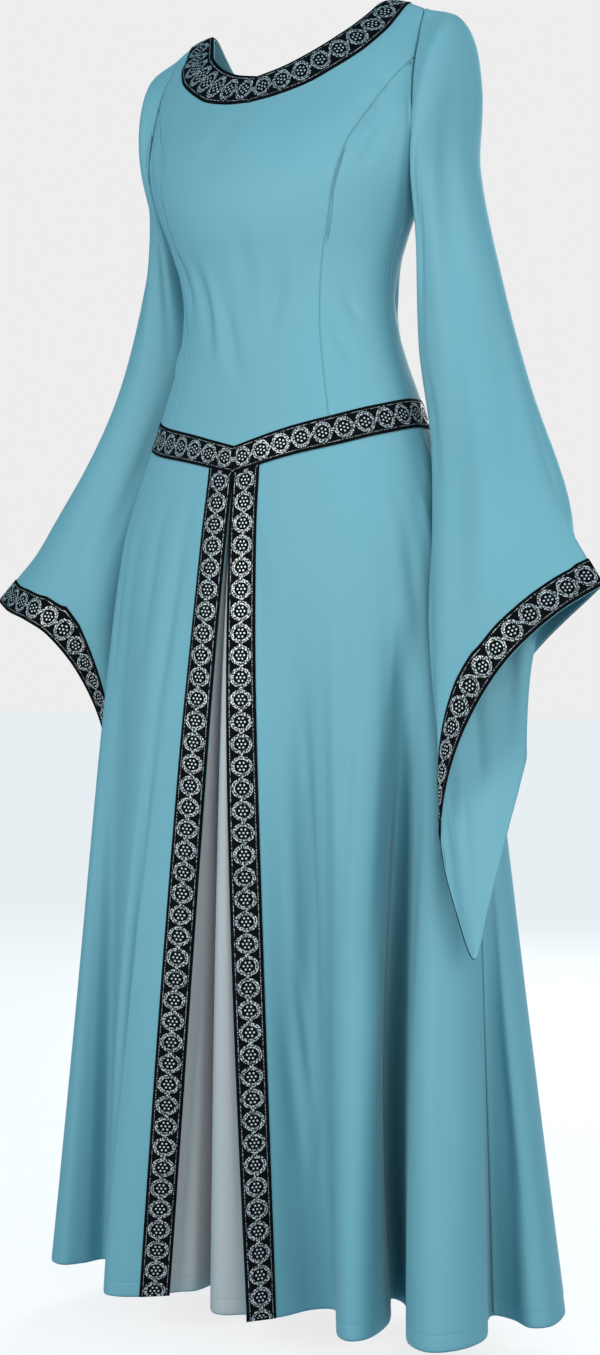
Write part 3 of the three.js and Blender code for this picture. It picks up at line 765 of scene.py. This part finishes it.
def neck_edge(rows, start, end):
    """The panel's top: the neckline's outer edge, then the shoulder seam."""
    def run(t):
        turn = lerp(start, end, t)
        return turn, np.minimum(read(rows, "turn", turn, "upper"), SHOULDER_TOP)
    return run


PRINCESS_FOOT = 38.0
START_PULL = 8
FOOT_PULL = 12


def princess(t):
    """The princess seam, from the armhole down to the hip seam."""
    top_turn, top_at = (float(value) for value in armhole(PRINCESS_START))
    foot_at = float(read(HIP, "turn", PRINCESS_FOOT, "lower"))
    at = lerp(top_at, foot_at, t)
    missed = top_turn - float(read(PRINCESS, "at", top_at, "turn"))
    turn = read(PRINCESS, "at", at, "turn") + missed * (1 - t) ** START_PULL
    return lerp(turn, PRINCESS_FOOT, np.clip(t, 0, 1) ** FOOT_PULL), at


underarm = armhole(1.0)
side_seam = straight((90, float(underarm[1])), (90, float(read(HIP, "turn", 90, "lower"))))
print("princess seam ends at turn", PRINCESS_FOOT)

# %% [markdown]
# The bodice has five panels: a front centre that runs from princess seam to princess seam,
# two side fronts, and two backs with a centre back seam. Each is an object of its own, as a
# dressmaker cuts it, so that its seams are real edges and not lines drawn on one surface.

# %% Bodice panels, cut
CLOTH = 1.3
# In metres: the bodice's map starts far above the hem, where no stitches are drawn
ABOVE_HEM = 1.0

front_half = fill(
    neck_edge(NECKLINE, 0, SHOULDER_TURN),
    hip_edge(0, PRINCESS_FOOT),
    straight((0, -71), (0, -498)),
    joined(0.15, armhole_part(0, PRINCESS_START), princess),
)
side_front = fill(
    armhole_part(PRINCESS_START, 1), hip_edge(PRINCESS_FOOT, 90), princess, side_seam
)
back_half = fill(
    neck_edge(BACK_NECKLINE, 180 - SHOULDER_TURN, 180),
    hip_edge(90, 180),
    joined(0.4, mirrored(armhole_part(0, 1)), side_seam),
    straight((180, -58), (180, -446)),
)


def bodice_place(panel, side):
    """Cloth on the body for a panel of the left, mirrored for the right."""
    def place(u, v):
        turn, at = panel(u if side > 0 else 1 - u, v)
        return on_body(side * turn, at)
    return place


def front_centre_place(u, v):
    turn, at = front_half(np.abs(2 * u - 1), v)
    return on_body(np.sign(2 * u - 1) * turn, at)


def bodice_pattern(width, length):
    return lambda u, v: (u * width * MM, ABOVE_HEM + (1 - v) * length * MM)


# %% Bodice panels, laid and sewn
front_centre = lay_cloth(
    "front_centre_cloth", front_centre_place, 72, 100, CLOTH, bodice_pattern(320, 430)
)
sew(front_centre, "bodice_front_centre", aqua, flat=(0.36, 0.5))
for side, word in ((1, "left"), (-1, "right")):
    piece = lay_cloth(
        f"side_front_{word}_cloth", bodice_place(side_front, side), 36, 80, CLOTH,
        bodice_pattern(110, 300),
    )
    sew(piece, f"bodice_side_front_{word}", aqua, flat=(0.16, 0.42))
    piece = lay_cloth(
        f"back_{word}_cloth", bodice_place(back_half, side), 48, 100, CLOTH, bodice_pattern(190, 430)
    )
    sew(piece, f"bodice_back_{word}", aqua, flat=(0.23, 0.5))

# %% [markdown]
# The skirt is cut full, so it falls in folds that grow from almost nothing at the hip to
# deep troughs at the hem. The hem's course in plan is a table with a row for each ridge,
# flank or trough, and every point of the skirt is drawn from the plain form towards that
# course, more the nearer it is to the hem.

# %% The skirt's hem
# Turn, place in plan, share of the way down where the fold starts, and how early it opens
HEM_FOLDS = table("turn x y start early", [
    (0, 25, -120, 0, 0),
    (7, 47, -86, 0, 0),
    (13, 60, -50, 0.1, 0.4),
    (20, 80, -37, 0.12, 0.5),
    (28, 106, -66, 0.15, 0.5),
    (35, 124, -103, 0.15, 0.5),
    (42, 146, -115, 0.15, 0.5),
    (48, 159, -92, 0.17, 0.5),
    (52, 150, -40, 0.2, 0.8),
    (55, 122, 10, 0.2, 0.9),
    (58, 112, 30, 0.2, 0.9),
    (61, 134, 18, 0.2, 0.8),
    (65, 170, -38, 0.2, 0.5),
    (69, 197, -86, 0.2, 0.4),
    (73, 229, -101, 0.2, 0.3),
    (78, 254, -74, 0.2, 0.2),
    (82, 258, -32, 0.25, 0),
    (86, 236, 14, 0.25, 0),
    (90, 230, 38, 0.25, 0),
    (94, 254, 36, 0.25, 0),
    (98, 280, 22, 0.25, 0),
    (103, 297, 42, 0.2, 0),
    (109, 288, 90, 0.2, 0),
    (116, 262, 112, 0.2, 0),
    (123, 262, 140, 0.2, 0),
    (130, 240, 162, 0.2, 0),
    (138, 200, 140, 0.25, 0),
    (147, 168, 176, 0.2, 0),
    (156, 118, 150, 0.3, 0),
    (165, 84, 188, 0.2, 0),
    (174, 34, 158, 0.25, 0),
    (183, -8, 190, 0.2, 0),
    (192, -62, 152, 0.3, 0),
    (201, -104, 186, 0.2, 0),
    (210, -150, 146, 0.25, 0),
    (219, -190, 174, 0.2, 0),
    (228, -222, 136, 0.25, 0),
    (237, -256, 146, 0.2, 0),
    (245, -258, 100, 0.25, 0),
    (254, -290, 84, 0.2, 0),
    (262, -276, 40, 0.3, 0),
    (271, -296, 10, 0.2, 0),
    (280, -297, -30, 0.2, 0),
    (288, -290, -57, 0.2, 0),
    (298, -266, -66, 0.2, 0.2),
    (306, -250, -46, 0.15, 0.5),
    (314, -240, -22, 0.1, 0.6),
    (321, -214, -38, 0.05, 0.4),
    (328, -186, -84, 0.05, 0.2),
    (335, -163, -121, 0.02, 0),
    (344, -145, -126, 0, 0),
    (353, -124, -116, 0, 0),
    (360, -96, -91, 0, 0),
])

# %% The skirt's surface
LATE_GROWTH = 1.3
EARLY_GROWTH = 1.2
SKIRT_STEPS = (0.2, 0.004)


def skirt_point(turn, drop):
    """A point of the skirt at a turn and a share of the way down from the hip seam."""
    seam = read(HIP, "turn", np.where(turn > 180, 360 - turn, turn), "lower")
    point = body_point(turn, lerp(seam, HEM_LEVEL, drop))
    hem = body_point(turn, np.full(np.shape(turn), float(HEM_LEVEL)))
    start = read(HEM_FOLDS, "turn", turn, "start")
    share = np.clip((drop - start) / (1 - start), 0, 1)
    soon = np.sin(share * math.pi / 2) ** EARLY_GROWTH
    grown = lerp(share ** LATE_GROWTH, soon, read(HEM_FOLDS, "turn", turn, "early"))
    point[..., 0] += grown * (read(HEM_FOLDS, "turn", turn, "x") - hem[..., 0])
    point[..., 1] += grown * (read(HEM_FOLDS, "turn", turn, "y") - hem[..., 1])
    return point


# %% Creases on the skirt
SKIRT_MM_PER_TURN = 4.0
SKIRT_LENGTH = 905.0
SKIRT_CREASES = [
    (86, 210, 72, 680, 15, -13.0),
    (44, 560, 54, 790, 9, -3.2),
    (58, 510, 72, 700, 7, -2.8),
    (1380, 10, 1360, 340, 14, -4.5),
    (1370, 250, 1330, 880, 10, -11.0),
    (126, 90, 138, 470, 16, 2.6),
    (158, 120, 150, 520, 13, -2.6),
    (372, 560, 392, 880, 14, -3.6),
    (300, 480, 304, 860, 12, -2.4),
    (118, 560, 62, 800, 12, -2.2),
    (140, 640, 84, 850, 10, 1.8),
    (90, 420, 70, 600, 16, -1.6),
    (196, 60, 214, 330, 18, -1.8),
    (236, 30, 262, 300, 16, -2.0),
    (286, 20, 292, 260, 15, 1.6),
    (306, 40, 330, 330, 15, -2.2),
    (1392, 40, 1404, 300, 16, -1.6),
    (1330, 30, 1322, 240, 14, -2.4),
    (1296, 60, 1280, 330, 14, 1.8),
    (1240, 40, 1226, 300, 15, -2.2),
    (1366, 500, 1352, 820, 15, -1.8),
    (1170, 60, 1156, 320, 16, -2.0),
    (1090, 40, 1084, 280, 16, -1.8),
    (980, 50, 972, 320, 17, -2.0),
    (890, 40, 884, 300, 16, -1.8),
    (810, 60, 812, 340, 15, 1.6),
    (720, 40, 720, 300, 18, -2.0),
    (636, 50, 640, 320, 16, -1.8),
    (560, 40, 566, 300, 16, -2.0),
    (470, 60, 478, 330, 16, -1.8),
    (400, 40, 410, 300, 15, -2.0),
]


def on_skirt(turn, drop, lift=0):
    """The skirt's cloth, creased, and a lift above it."""
    rise = creased(SKIRT_CREASES, turn * SKIRT_MM_PER_TURN, drop * SKIRT_LENGTH) + lift
    return skirt_point(turn, drop) + outward(skirt_point, turn, drop, *SKIRT_STEPS) * rise[:, None]


hem_run = skirt_point(np.linspace(0, 360, 721), np.ones(721))
print("hem in mm:", round(float(np.linalg.norm(np.diff(hem_run, axis=0), axis=1).sum())))

# %% [markdown]
# Four panels are laid on the skirt's surface. The front ones carry the deep folds, so their
# grids are closer. A rounded seam edge could let light through where two panels meet, so
# each panel runs about half a millimetre past its seams at the sides and the back.

# %% Skirt panels
SEAM_LAP = 0.12
SKIRT_ROWS = 140


def skirt_place(start, end):
    """Cloth between two turns, with the lap at a seam but none at the open front."""
    first = start - SEAM_LAP if start > 0 else start
    last = end + SEAM_LAP if end < 360 else end
    return lambda u, v: on_skirt(lerp(first, last, u), v)


def skirt_pattern(width):
    return lambda u, v: (u * width * MM, (1 - v) * SKIRT_LENGTH * MM)


SKIRT_PANELS = [
    ("skirt_front_left", 0, 90, 150, (0.66, 0.93), 0.42),
    ("skirt_back_left", 90, 180, 96, (0.62, 0.93), 0.42),
    ("skirt_back_right", 180, 270, 96, (0.62, 0.93), 0.42),
    ("skirt_front_right", 270, 360, 120, (0.5, 0.93), 0.32),
]
for node, start, end, columns, flat, area in SKIRT_PANELS:
    piece = lay_cloth(
        f"{node}_cloth", skirt_place(start, end), columns, SKIRT_ROWS, CLOTH,
        skirt_pattern(flat[0] / MM),
    )
    sew(piece, node, aqua, flat=flat)

# %% [markdown]
# Behind the parted skirt hangs a white inset. It is sewn under the middle of the ribbon on
# each front edge and folds back deeply on the wearer's right, where the skirt shades it. A
# flat sheet between the two edges would look like paper, so a table gives its folds at the
# hem, and they fade towards the hip.


# %% Where the front ribbons end
def band_turns(edge):
    """The turn that lies a ribbon's width from a front edge, for a run of drops."""
    drops = np.linspace(0, 1, 81)
    away = np.linspace(0, 60, 601)
    turns = []
    for drop in drops:
        path = skirt_point(np.abs(edge - away), np.full(away.shape, drop))
        run = np.concatenate([[0], np.cumsum(np.linalg.norm(np.diff(path, axis=0), axis=1))])
        turns.append(np.interp(RIBBON, run, away))
    return table("drop turn", list(zip(drops, np.abs(edge - np.array(turns)))))


BANDS = {"left": (0, band_turns(0)), "right": (360, band_turns(360))}
print("turns under a front ribbon at the hem:", round(float(BANDS["left"][1]["turn"][-1]), 1))

# %% The white inset
SEAM_GAP = 0.3
INSET = 1.1
INSET_WIDE = 220.0
INSET_LONG = 890.0
INSET_FOLDS = table("across x y", [
    (0, 0, 0),
    (0.1, 0, 24),
    (0.2, 0, 40),
    (0.38, -22, 76),
    (0.48, -20, 44),
    (0.57, 0, -6),
    (0.64, 8, -12),
    (0.8, 4, 2),
    (0.92, 0, 8),
    (1, 0, 0),
])


def inset_point(across, drop):
    """A point between the two places where the inset is sewn, folded towards the hem."""
    ends = []
    for word in ("right", "left"):
        edge, turns = BANDS[word]
        turn = (edge + read(turns, "drop", drop, "turn")) / 2
        normal = outward(skirt_point, turn, drop, *SKIRT_STEPS)
        ends.append(skirt_point(turn, drop) - normal * (CLOTH + SEAM_GAP))
    point = lerp(ends[0], ends[1], across[:, None])
    point[:, 0] += drop * read(INSET_FOLDS, "across", across, "x")
    point[:, 1] += drop * read(INSET_FOLDS, "across", across, "y")
    return point


inset = lay_cloth(
    "white_inset_cloth", inset_point, 48, 120, INSET,
    lambda u, v: (u * INSET_WIDE * MM, (1 - v) * INSET_LONG * MM),
)
sew(inset, "front_inset", white, flat=(0.3, 0.9))

# %% [markdown]
# Each sleeve is one tube that leaves the armhole, narrows at the elbow and opens into a
# wide cuff with a long point. It is drawn through the armhole, six slanted rings and the
# hem, all read at the same number of places round the arm. The wearer's left sleeve hangs
# in front of the hip and the right one behind it, so their hems differ. A loft through
# rings was chosen because a bell sleeve changes its width and its lean all the way down.

# %% The sleeves' rings and hems
RINGS = table("along out_x out_y out_z in_x in_y in_z deep skew", [
    (0.05, 195, 30, -18, 162, 4, -203, 50, 0),
    (0.12, 206, 37, -64, 160, 8, -216, 54, 0),
    (0.26, 202, 44, -160, 156, 24, -268, 50, 0),
    (0.42, 230, 44, -290, 154, 32, -372, 50, 3),
    (0.58, 265, 33, -400, 184, 8, -480, 50, 8),
    (0.8, 329, -8, -540, 219, -46, -650, 52, 18),
])
INNER_SWING = {"left": (0, 0), "right": (8, 62)}
SLEEVE_HEMS = {
    "left": table("round x y z", [
        (0, 388, -36, -622),
        (20, 356, -66, -648),
        (45, 320, -90, -686),
        (70, 290, -98, -727),
        (95, 262, -98, -778),
        (120, 246, -98, -832),
        (145, 246, -102, -886),
        (165, 260, -98, -944),
        (180, 274, -86, -990),
        (195, 282, -70, -934),
        (210, 286, -54, -892),
        (225, 288, -38, -856),
        (240, 290, -22, -822),
        (255, 290, -8, -790),
        (270, 278, 6, -758),
        (285, 270, 10, -728),
        (300, 276, 16, -702),
        (315, 297, 17, -677),
        (330, 328, 4, -655),
        (345, 360, -16, -637),
        (360, 388, -36, -622),
    ]),
    "right": table("round x y z", [
        (0, 388, -36, -622),
        (20, 356, -56, -635),
        (45, 322, -66, -646),
        (70, 292, -60, -665),
        (95, 268, -38, -706),
        (120, 258, -8, -764),
        (145, 258, 16, -836),
        (165, 262, 36, -906),
        (180, 264, 56, -980),
        (195, 254, 76, -930),
        (210, 246, 92, -884),
        (225, 240, 104, -840),
        (240, 238, 114, -800),
        (255, 242, 118, -766),
        (270, 252, 116, -738),
        (285, 268, 106, -714),
        (300, 288, 88, -694),
        (315, 310, 64, -676),
        (330, 334, 34, -658),
        (345, 362, 0, -640),
        (360, 388, -36, -622),
    ]),
}

# %% Creases on the sleeves
SLEEVE_CREASES = {
    "left": [
        (100, 60, 122, 330, 13, -4.2),
        (74, 110, 92, 400, 14, 3.0),
        (128, 250, 116, 520, 12, -2.2),
        (40, 60, 60, 360, 18, -3.0),
        (20, 300, 44, 640, 18, -3.0),
        (88, 380, 96, 660, 16, -3.4),
        (60, 300, 72, 650, 13, 2.4),
        (232, 60, 214, 330, 16, -2.4),
        (280, 120, 262, 420, 16, -2.0),
        (250, 330, 234, 600, 14, 1.8),
        (318, 200, 306, 520, 16, -1.6),
        (150, 500, 172, 700, 8, 8.0),
        (178, 520, 182, 700, 8, -5.0),
        (208, 520, 198, 690, 9, 4.5),
        (262, 520, 240, 690, 11, -4.0),
        (300, 480, 286, 680, 10, 3.0),
    ],
    "right": [
        (104, 80, 118, 320, 13, -3.0),
        (70, 130, 84, 400, 14, 2.0),
        (36, 110, 50, 420, 16, -2.2),
        (14, 300, 30, 600, 18, -1.8),
        (130, 300, 112, 560, 12, -2.2),
        (84, 380, 78, 640, 15, -2.0),
        (228, 60, 216, 330, 16, -2.4),
        (276, 120, 260, 420, 16, -2.0),
        (246, 330, 232, 600, 14, 1.8),
        (320, 200, 304, 520, 16, -1.6),
    ],
}
SLEEVE_LENGTH = 700.0
print("creases on the sleeves:", sum(len(rows) for rows in SLEEVE_CREASES.values()))


# %% The sleeves' surfaces
SLEEVE_STEPS = (1.0, 0.004)


def armhole_loop(turn):
    """The armhole as a loop: down its front, then up its back."""
    share = np.where(turn <= 180, turn / 180, 2 - turn / 180)
    at_turn, at = armhole(share)
    return body_point(np.where(turn <= 180, at_turn, 180 - at_turn), at)


def sleeve_point(name, side):
    """The surface of one sleeve, by its turn round the arm and its share along it."""
    swing_x, swing_y = INNER_SWING[name]
    hem_rows = SLEEVE_HEMS[name]

    def point(turn, along):
        turn = np.mod(turn, 360)
        out, aside = np.cos(np.radians(turn)), np.sin(np.radians(turn))
        knots = [armhole_loop(turn)]
        for row in range(len(RINGS["along"])):
            ring = {column: values[row] for column, values in RINGS.items()}
            in_x = ring["in_x"] + swing_x * ring["along"]
            in_y = ring["in_y"] + swing_y * ring["along"]
            knots.append(points(
                lerp(in_x, ring["out_x"], (1 + out) / 2) - aside * ring["skew"],
                lerp(in_y, ring["out_y"], (1 + out) / 2) - aside * ring["deep"],
                lerp(ring["in_z"], ring["out_z"], (1 + out) / 2),
            ))
        knots.append(points(*(read(hem_rows, "round", turn, axis) for axis in "xyz")))
        keys = np.concatenate([[0], RINGS["along"], [1]])
        knots = np.array(knots)
        place = points(*(between(keys, knots[:, :, axis], along) for axis in range(3)))
        return place * (side, 1, 1)
    return point


def on_sleeve(name, side):
    """One sleeve's cloth, creased, and a lift above it."""
    point = sleeve_point(name, side)

    def place(turn, along, lift=0):
        folded = np.mod(turn, 360)
        rise = creased(SLEEVE_CREASES[name], folded, along * SLEEVE_LENGTH) + lift
        normal = outward(point, turn, along, *SLEEVE_STEPS)
        return point(turn, along) - side * normal * rise[:, None]
    return place


# %% [markdown]
# A sleeve's grid is rolled into a tube: its first and last columns land on the same line
# along the arm's outer side, and merging them closes it. The right sleeve mirrors the left
# one's rings, which turns its faces round, so only the left one has its faces reversed.

# %% Sleeves
SLEEVE_TOP = 0.0008
SLEEVE_ROUND = 500.0
SIDES = {"left": 1, "right": -1}
sleeve_surfaces = {word: on_sleeve(word, side) for word, side in SIDES.items()}


def sleeve_place(surface):
    return lambda u, v: surface(u * 360, lerp(SLEEVE_TOP, 1, v))


for word, side in SIDES.items():
    piece = lay_cloth(
        f"sleeve_{word}_cloth", sleeve_place(sleeve_surfaces[word]), 150, 120, CLOTH,
        lambda u, v: (u * SLEEVE_ROUND * MM, ABOVE_HEM + (1 - v) * SLEEVE_LENGTH * MM),
        turned=side > 0, closed=True,
    )
    sew(piece, f"sleeve_{word}", aqua, flat=(0.95, 0.8))

# %% [markdown]
# The ribbons lie on the finished cloth, sewn along both of their edges. Each one is read
# from the surface below it and lifted clear of it, so it follows every crease. A strip bent
# with a Curve modifier would cut through the folds. Its UV map measures the real length
# along its middle line, which keeps the braid's rings evenly spaced.


# %% Laying a ribbon
RIBBON_LIFT = 1.3
RIBBON_THICK = 0.9
RIBBON_COLUMNS = 6
SAMPLES = 400


def lay_ribbon(name, place, columns, turned=False, closed=False):
    """A ribbon whose place(t, s) runs along it with t and across it with s."""
    t = np.linspace(0, 1, SAMPLES)
    middle = place(t, np.full(SAMPLES, 0.5))
    run = np.concatenate([[0], np.cumsum(np.linalg.norm(np.diff(middle, axis=0), axis=1))])
    ahead = np.gradient(middle, axis=0)
    ahead /= np.linalg.norm(ahead, axis=1)[:, None]

    def pattern(u, v):
        """Lengths along and across the ribbon, true also where the cloth runs at a slant."""
        centre = np.stack([np.interp(u, t, middle[:, axis]) for axis in range(3)], axis=-1)
        onward = np.stack([np.interp(u, t, ahead[:, axis]) for axis in range(3)], axis=-1)
        slid = ((place(u, v) - centre) * onward).sum(axis=-1)
        return (np.interp(u, t, run) + slid) * MM, v * RIBBON * MM

    piece = lay_cloth(name, place, columns, RIBBON_COLUMNS, RIBBON_THICK, pattern, turned, closed)
    return piece, run[-1] * MM


# %% Ribbons on the bodice
def neck_ribbon(side):
    """From the centre front over the shoulder to the centre back."""
    def place(t, s):
        front, rear = np.clip(2 * t, 0, 1), np.clip(2 * t - 1, 0, 1)
        upper, lower = front * NECK_END_UPPER, front * NECK_END_LOWER
        front_at = lerp(
            read(NECKLINE, "turn", upper, "upper"), read(NECKLINE, "turn", lower, "lower"), s
        )
        far_upper = lerp(180 - NECK_END_UPPER, 180, rear)
        far_lower = lerp(180 - NECK_END_LOWER, 180, rear)
        back_at = lerp(
            read(BACK_NECKLINE, "turn", far_upper, "upper"),
            read(BACK_NECKLINE, "turn", far_lower, "lower"), s,
        )
        is_front = t <= 0.5
        turn = np.where(is_front, lerp(upper, lower, s), lerp(far_upper, far_lower, s))
        at = np.where(is_front, front_at, back_at)
        return on_body(side * turn, at, RIBBON_LIFT)
    return place


def hip_ribbon(side):
    """Over the hip seam, from the point in front round to the centre back."""
    def place(t, s):
        turn = t * 180
        at = lerp(read(HIP, "turn", turn, "upper"), read(HIP, "turn", turn, "lower"), s)
        return on_body(side * turn, at, RIBBON_LIFT)
    return place


# %% Ribbons on the skirt and sleeves
def front_ribbon(word):
    """Down a front edge of the skirt, from the hip seam to the hem."""
    edge, turns = BANDS[word]

    def place(t, s):
        far = read(turns, "drop", t, "turn")
        return on_skirt(lerp(edge, far, s), t, RIBBON_LIFT)
    return place


TIP_MITRE = 9.0
HEM_SHARE = 0.03
HEM_TURN = 3.0
LEAST_SLANT = 0.5


def sleeve_ribbon(word):
    """Along the hem. Where the sleeve meets the hem at a slant, the ribbon reaches further."""
    surface = sleeve_surfaces[word]
    rounds = np.linspace(0, 360, 181)
    ends = np.ones(rounds.shape)
    down = surface(rounds, ends) - surface(rounds, ends - HEM_SHARE)
    along = surface(rounds + HEM_TURN, ends) - surface(rounds - HEM_TURN, ends)
    length = np.linalg.norm(down, axis=1)
    cosine = (down * along).sum(1) / length / np.linalg.norm(along, axis=1)
    slant = np.maximum(np.sqrt(1 - np.clip(cosine, -1, 1) ** 2), LEAST_SLANT)
    reach = RIBBON * HEM_SHARE / slant / length
    # At the sleeve's point the ribbon is mitred, so it is as deep there as on both flanks
    near = [np.abs(rounds - middle) < TIP_MITRE for middle in rounds]
    starts = 1 - np.array([reach[window].max() for window in near])

    def place(t, s):
        start = np.interp(t * 360, rounds, starts)
        return surface(t * 360, lerp(start, 1, s), RIBBON_LIFT)
    return place


# %% [markdown]
# The strips are now laid and sewn on, in pairs. Each one's cut is printed: the ribbon's
# width, and the length that was measured along its middle. At the neck and the hip the two
# halves meet at the centre front and at the centre back.


# %% Sewing the ribbons on
def add_ribbon(name, node, place, columns, turned, closed=False):
    """Lay a ribbon and sew it on as a strip of its measured length."""
    piece, length = lay_ribbon(name, place, columns, turned, closed)
    flat = (round(RIBBON * MM, 3), round(length, 2))
    sew(piece, node, ribbon, flat=flat)


for word, side in SIDES.items():
    right = side < 0
    add_ribbon(f"neck_ribbon_{word}", f"neck_trim_{word}", neck_ribbon(side), 110, right)
    add_ribbon(f"hip_ribbon_{word}", f"hip_trim_{word}", hip_ribbon(side), 110, right)
    add_ribbon(f"front_ribbon_{word}", f"front_band_{word}", front_ribbon(word), 170,
               not right)
    add_ribbon(f"sleeve_ribbon_{word}", f"sleeve_trim_{word}", sleeve_ribbon(word), 240,
               not right, closed=True)

# %% [markdown]
# A plain pale floor and soft light let the cloth speak. The gown hangs, so the floor is a
# flat sheet 50 mm below the hem. It glows a little, so that it stays pale without a brighter
# lamp, and it throws no light back, because a lit floor would fill the folds' shade.

# %% The floor
FLOOR_LEVEL = -1.43
FLOOR_HALF = 30

bm = bmesh.new()
bmesh.ops.create_grid(bm, x_segments=2, y_segments=2, size=FLOOR_HALF)
bmesh.ops.translate(bm, verts=bm.verts, vec=(0, 0, FLOOR_LEVEL))
floor_mesh = bpy.data.meshes.new("floor")
bm.to_mesh(floor_mesh)
bm.free()
floor = bpy.data.objects.new("floor", floor_mesh)
bpy.context.scene.collection.objects.link(floor)
paper = Finish("pale floor")
paper.put(paper.shader.inputs["Base Color"], (0.2, 0.2, 0.2, 1))
paper.put(paper.shader.inputs["Roughness"], 0.9)
paper.put(paper.shader.inputs["Emission Color"], (0.9, 0.9, 0.9, 1))
paper.put(paper.shader.inputs["Emission Strength"], 0.88)
floor_mesh.materials.append(paper.material)
floor.visible_diffuse = False
print("floor at", FLOOR_LEVEL)

# %% [markdown]
# Shade on this cloth turns teal, not grey. A weak blue-green world gives that, because it is
# most of what reaches the deep folds. The camera itself sees a plain pale wall in its place,
# which a Light Path node tells apart from the light that falls on the gown.

# %% The world
world = bpy.data.worlds.new("studio")
world.use_nodes = True
world_nodes, world_links = world.node_tree.nodes, world.node_tree.links
ambient = world_nodes["Background"]
ambient.inputs["Color"].default_value = (0.0, 0.66, 1.0, 1)
ambient.inputs["Strength"].default_value = 0.36
paper_wall = world_nodes.new("ShaderNodeBackground")
paper_wall.inputs["Color"].default_value = (0.85, 0.85, 0.85, 1)
paper_wall.inputs["Strength"].default_value = 1.0
seen = world_nodes.new("ShaderNodeLightPath")
either = world_nodes.new("ShaderNodeMixShader")
world_links.new(seen.outputs["Is Camera Ray"], either.inputs[0])
world_links.new(ambient.outputs[0], either.inputs[1])
world_links.new(paper_wall.outputs[0], either.inputs[2])
world_links.new(either.outputs[0], world_nodes["World Output"].inputs["Surface"])
bpy.context.scene.world = world
bpy.context.scene.view_settings.view_transform = "Standard"
print("world light:", ambient.inputs["Strength"].default_value)

# %% [markdown]
# Four soft square lights do the rest. The key stands in front of the gown, to the left of
# the camera, and models the skirt's folds from there. A fill and a side light stand on the
# camera's right, and a rear light keeps the back from going dark in other views.

# %% The lights
GOWN_MIDDLE = (0, 0, -0.7)
# Each row: name, place, side of the square in metres and power in watts
LIGHTS = [
    ("key", (-0.5, -2.7, 0.0), 1.0, 48),
    ("fill", (2.2, -2.0, -0.1), 1.5, 38),
    ("side", (2.8, 0.2, 0.2), 1.4, 30),
    ("rear", (-0.6, 2.8, 0.6), 1.6, 62),
]
for name, place, size, power in LIGHTS:
    light_data = bpy.data.lights.new(name, "AREA")
    light_data.shape = "SQUARE"
    light_data.size = size
    light_data.energy = power
    light = bpy.data.objects.new(name, light_data)
    bpy.context.scene.collection.objects.link(light)
    light.location = place
    toward = np.array(GOWN_MIDDLE) - np.array(place)
    tilt = math.atan2(math.hypot(toward[0], toward[1]), -toward[2])
    light.rotation_euler = (tilt, 0, math.atan2(-toward[0], toward[1]))
print("lights:", [row[0] for row in LIGHTS])
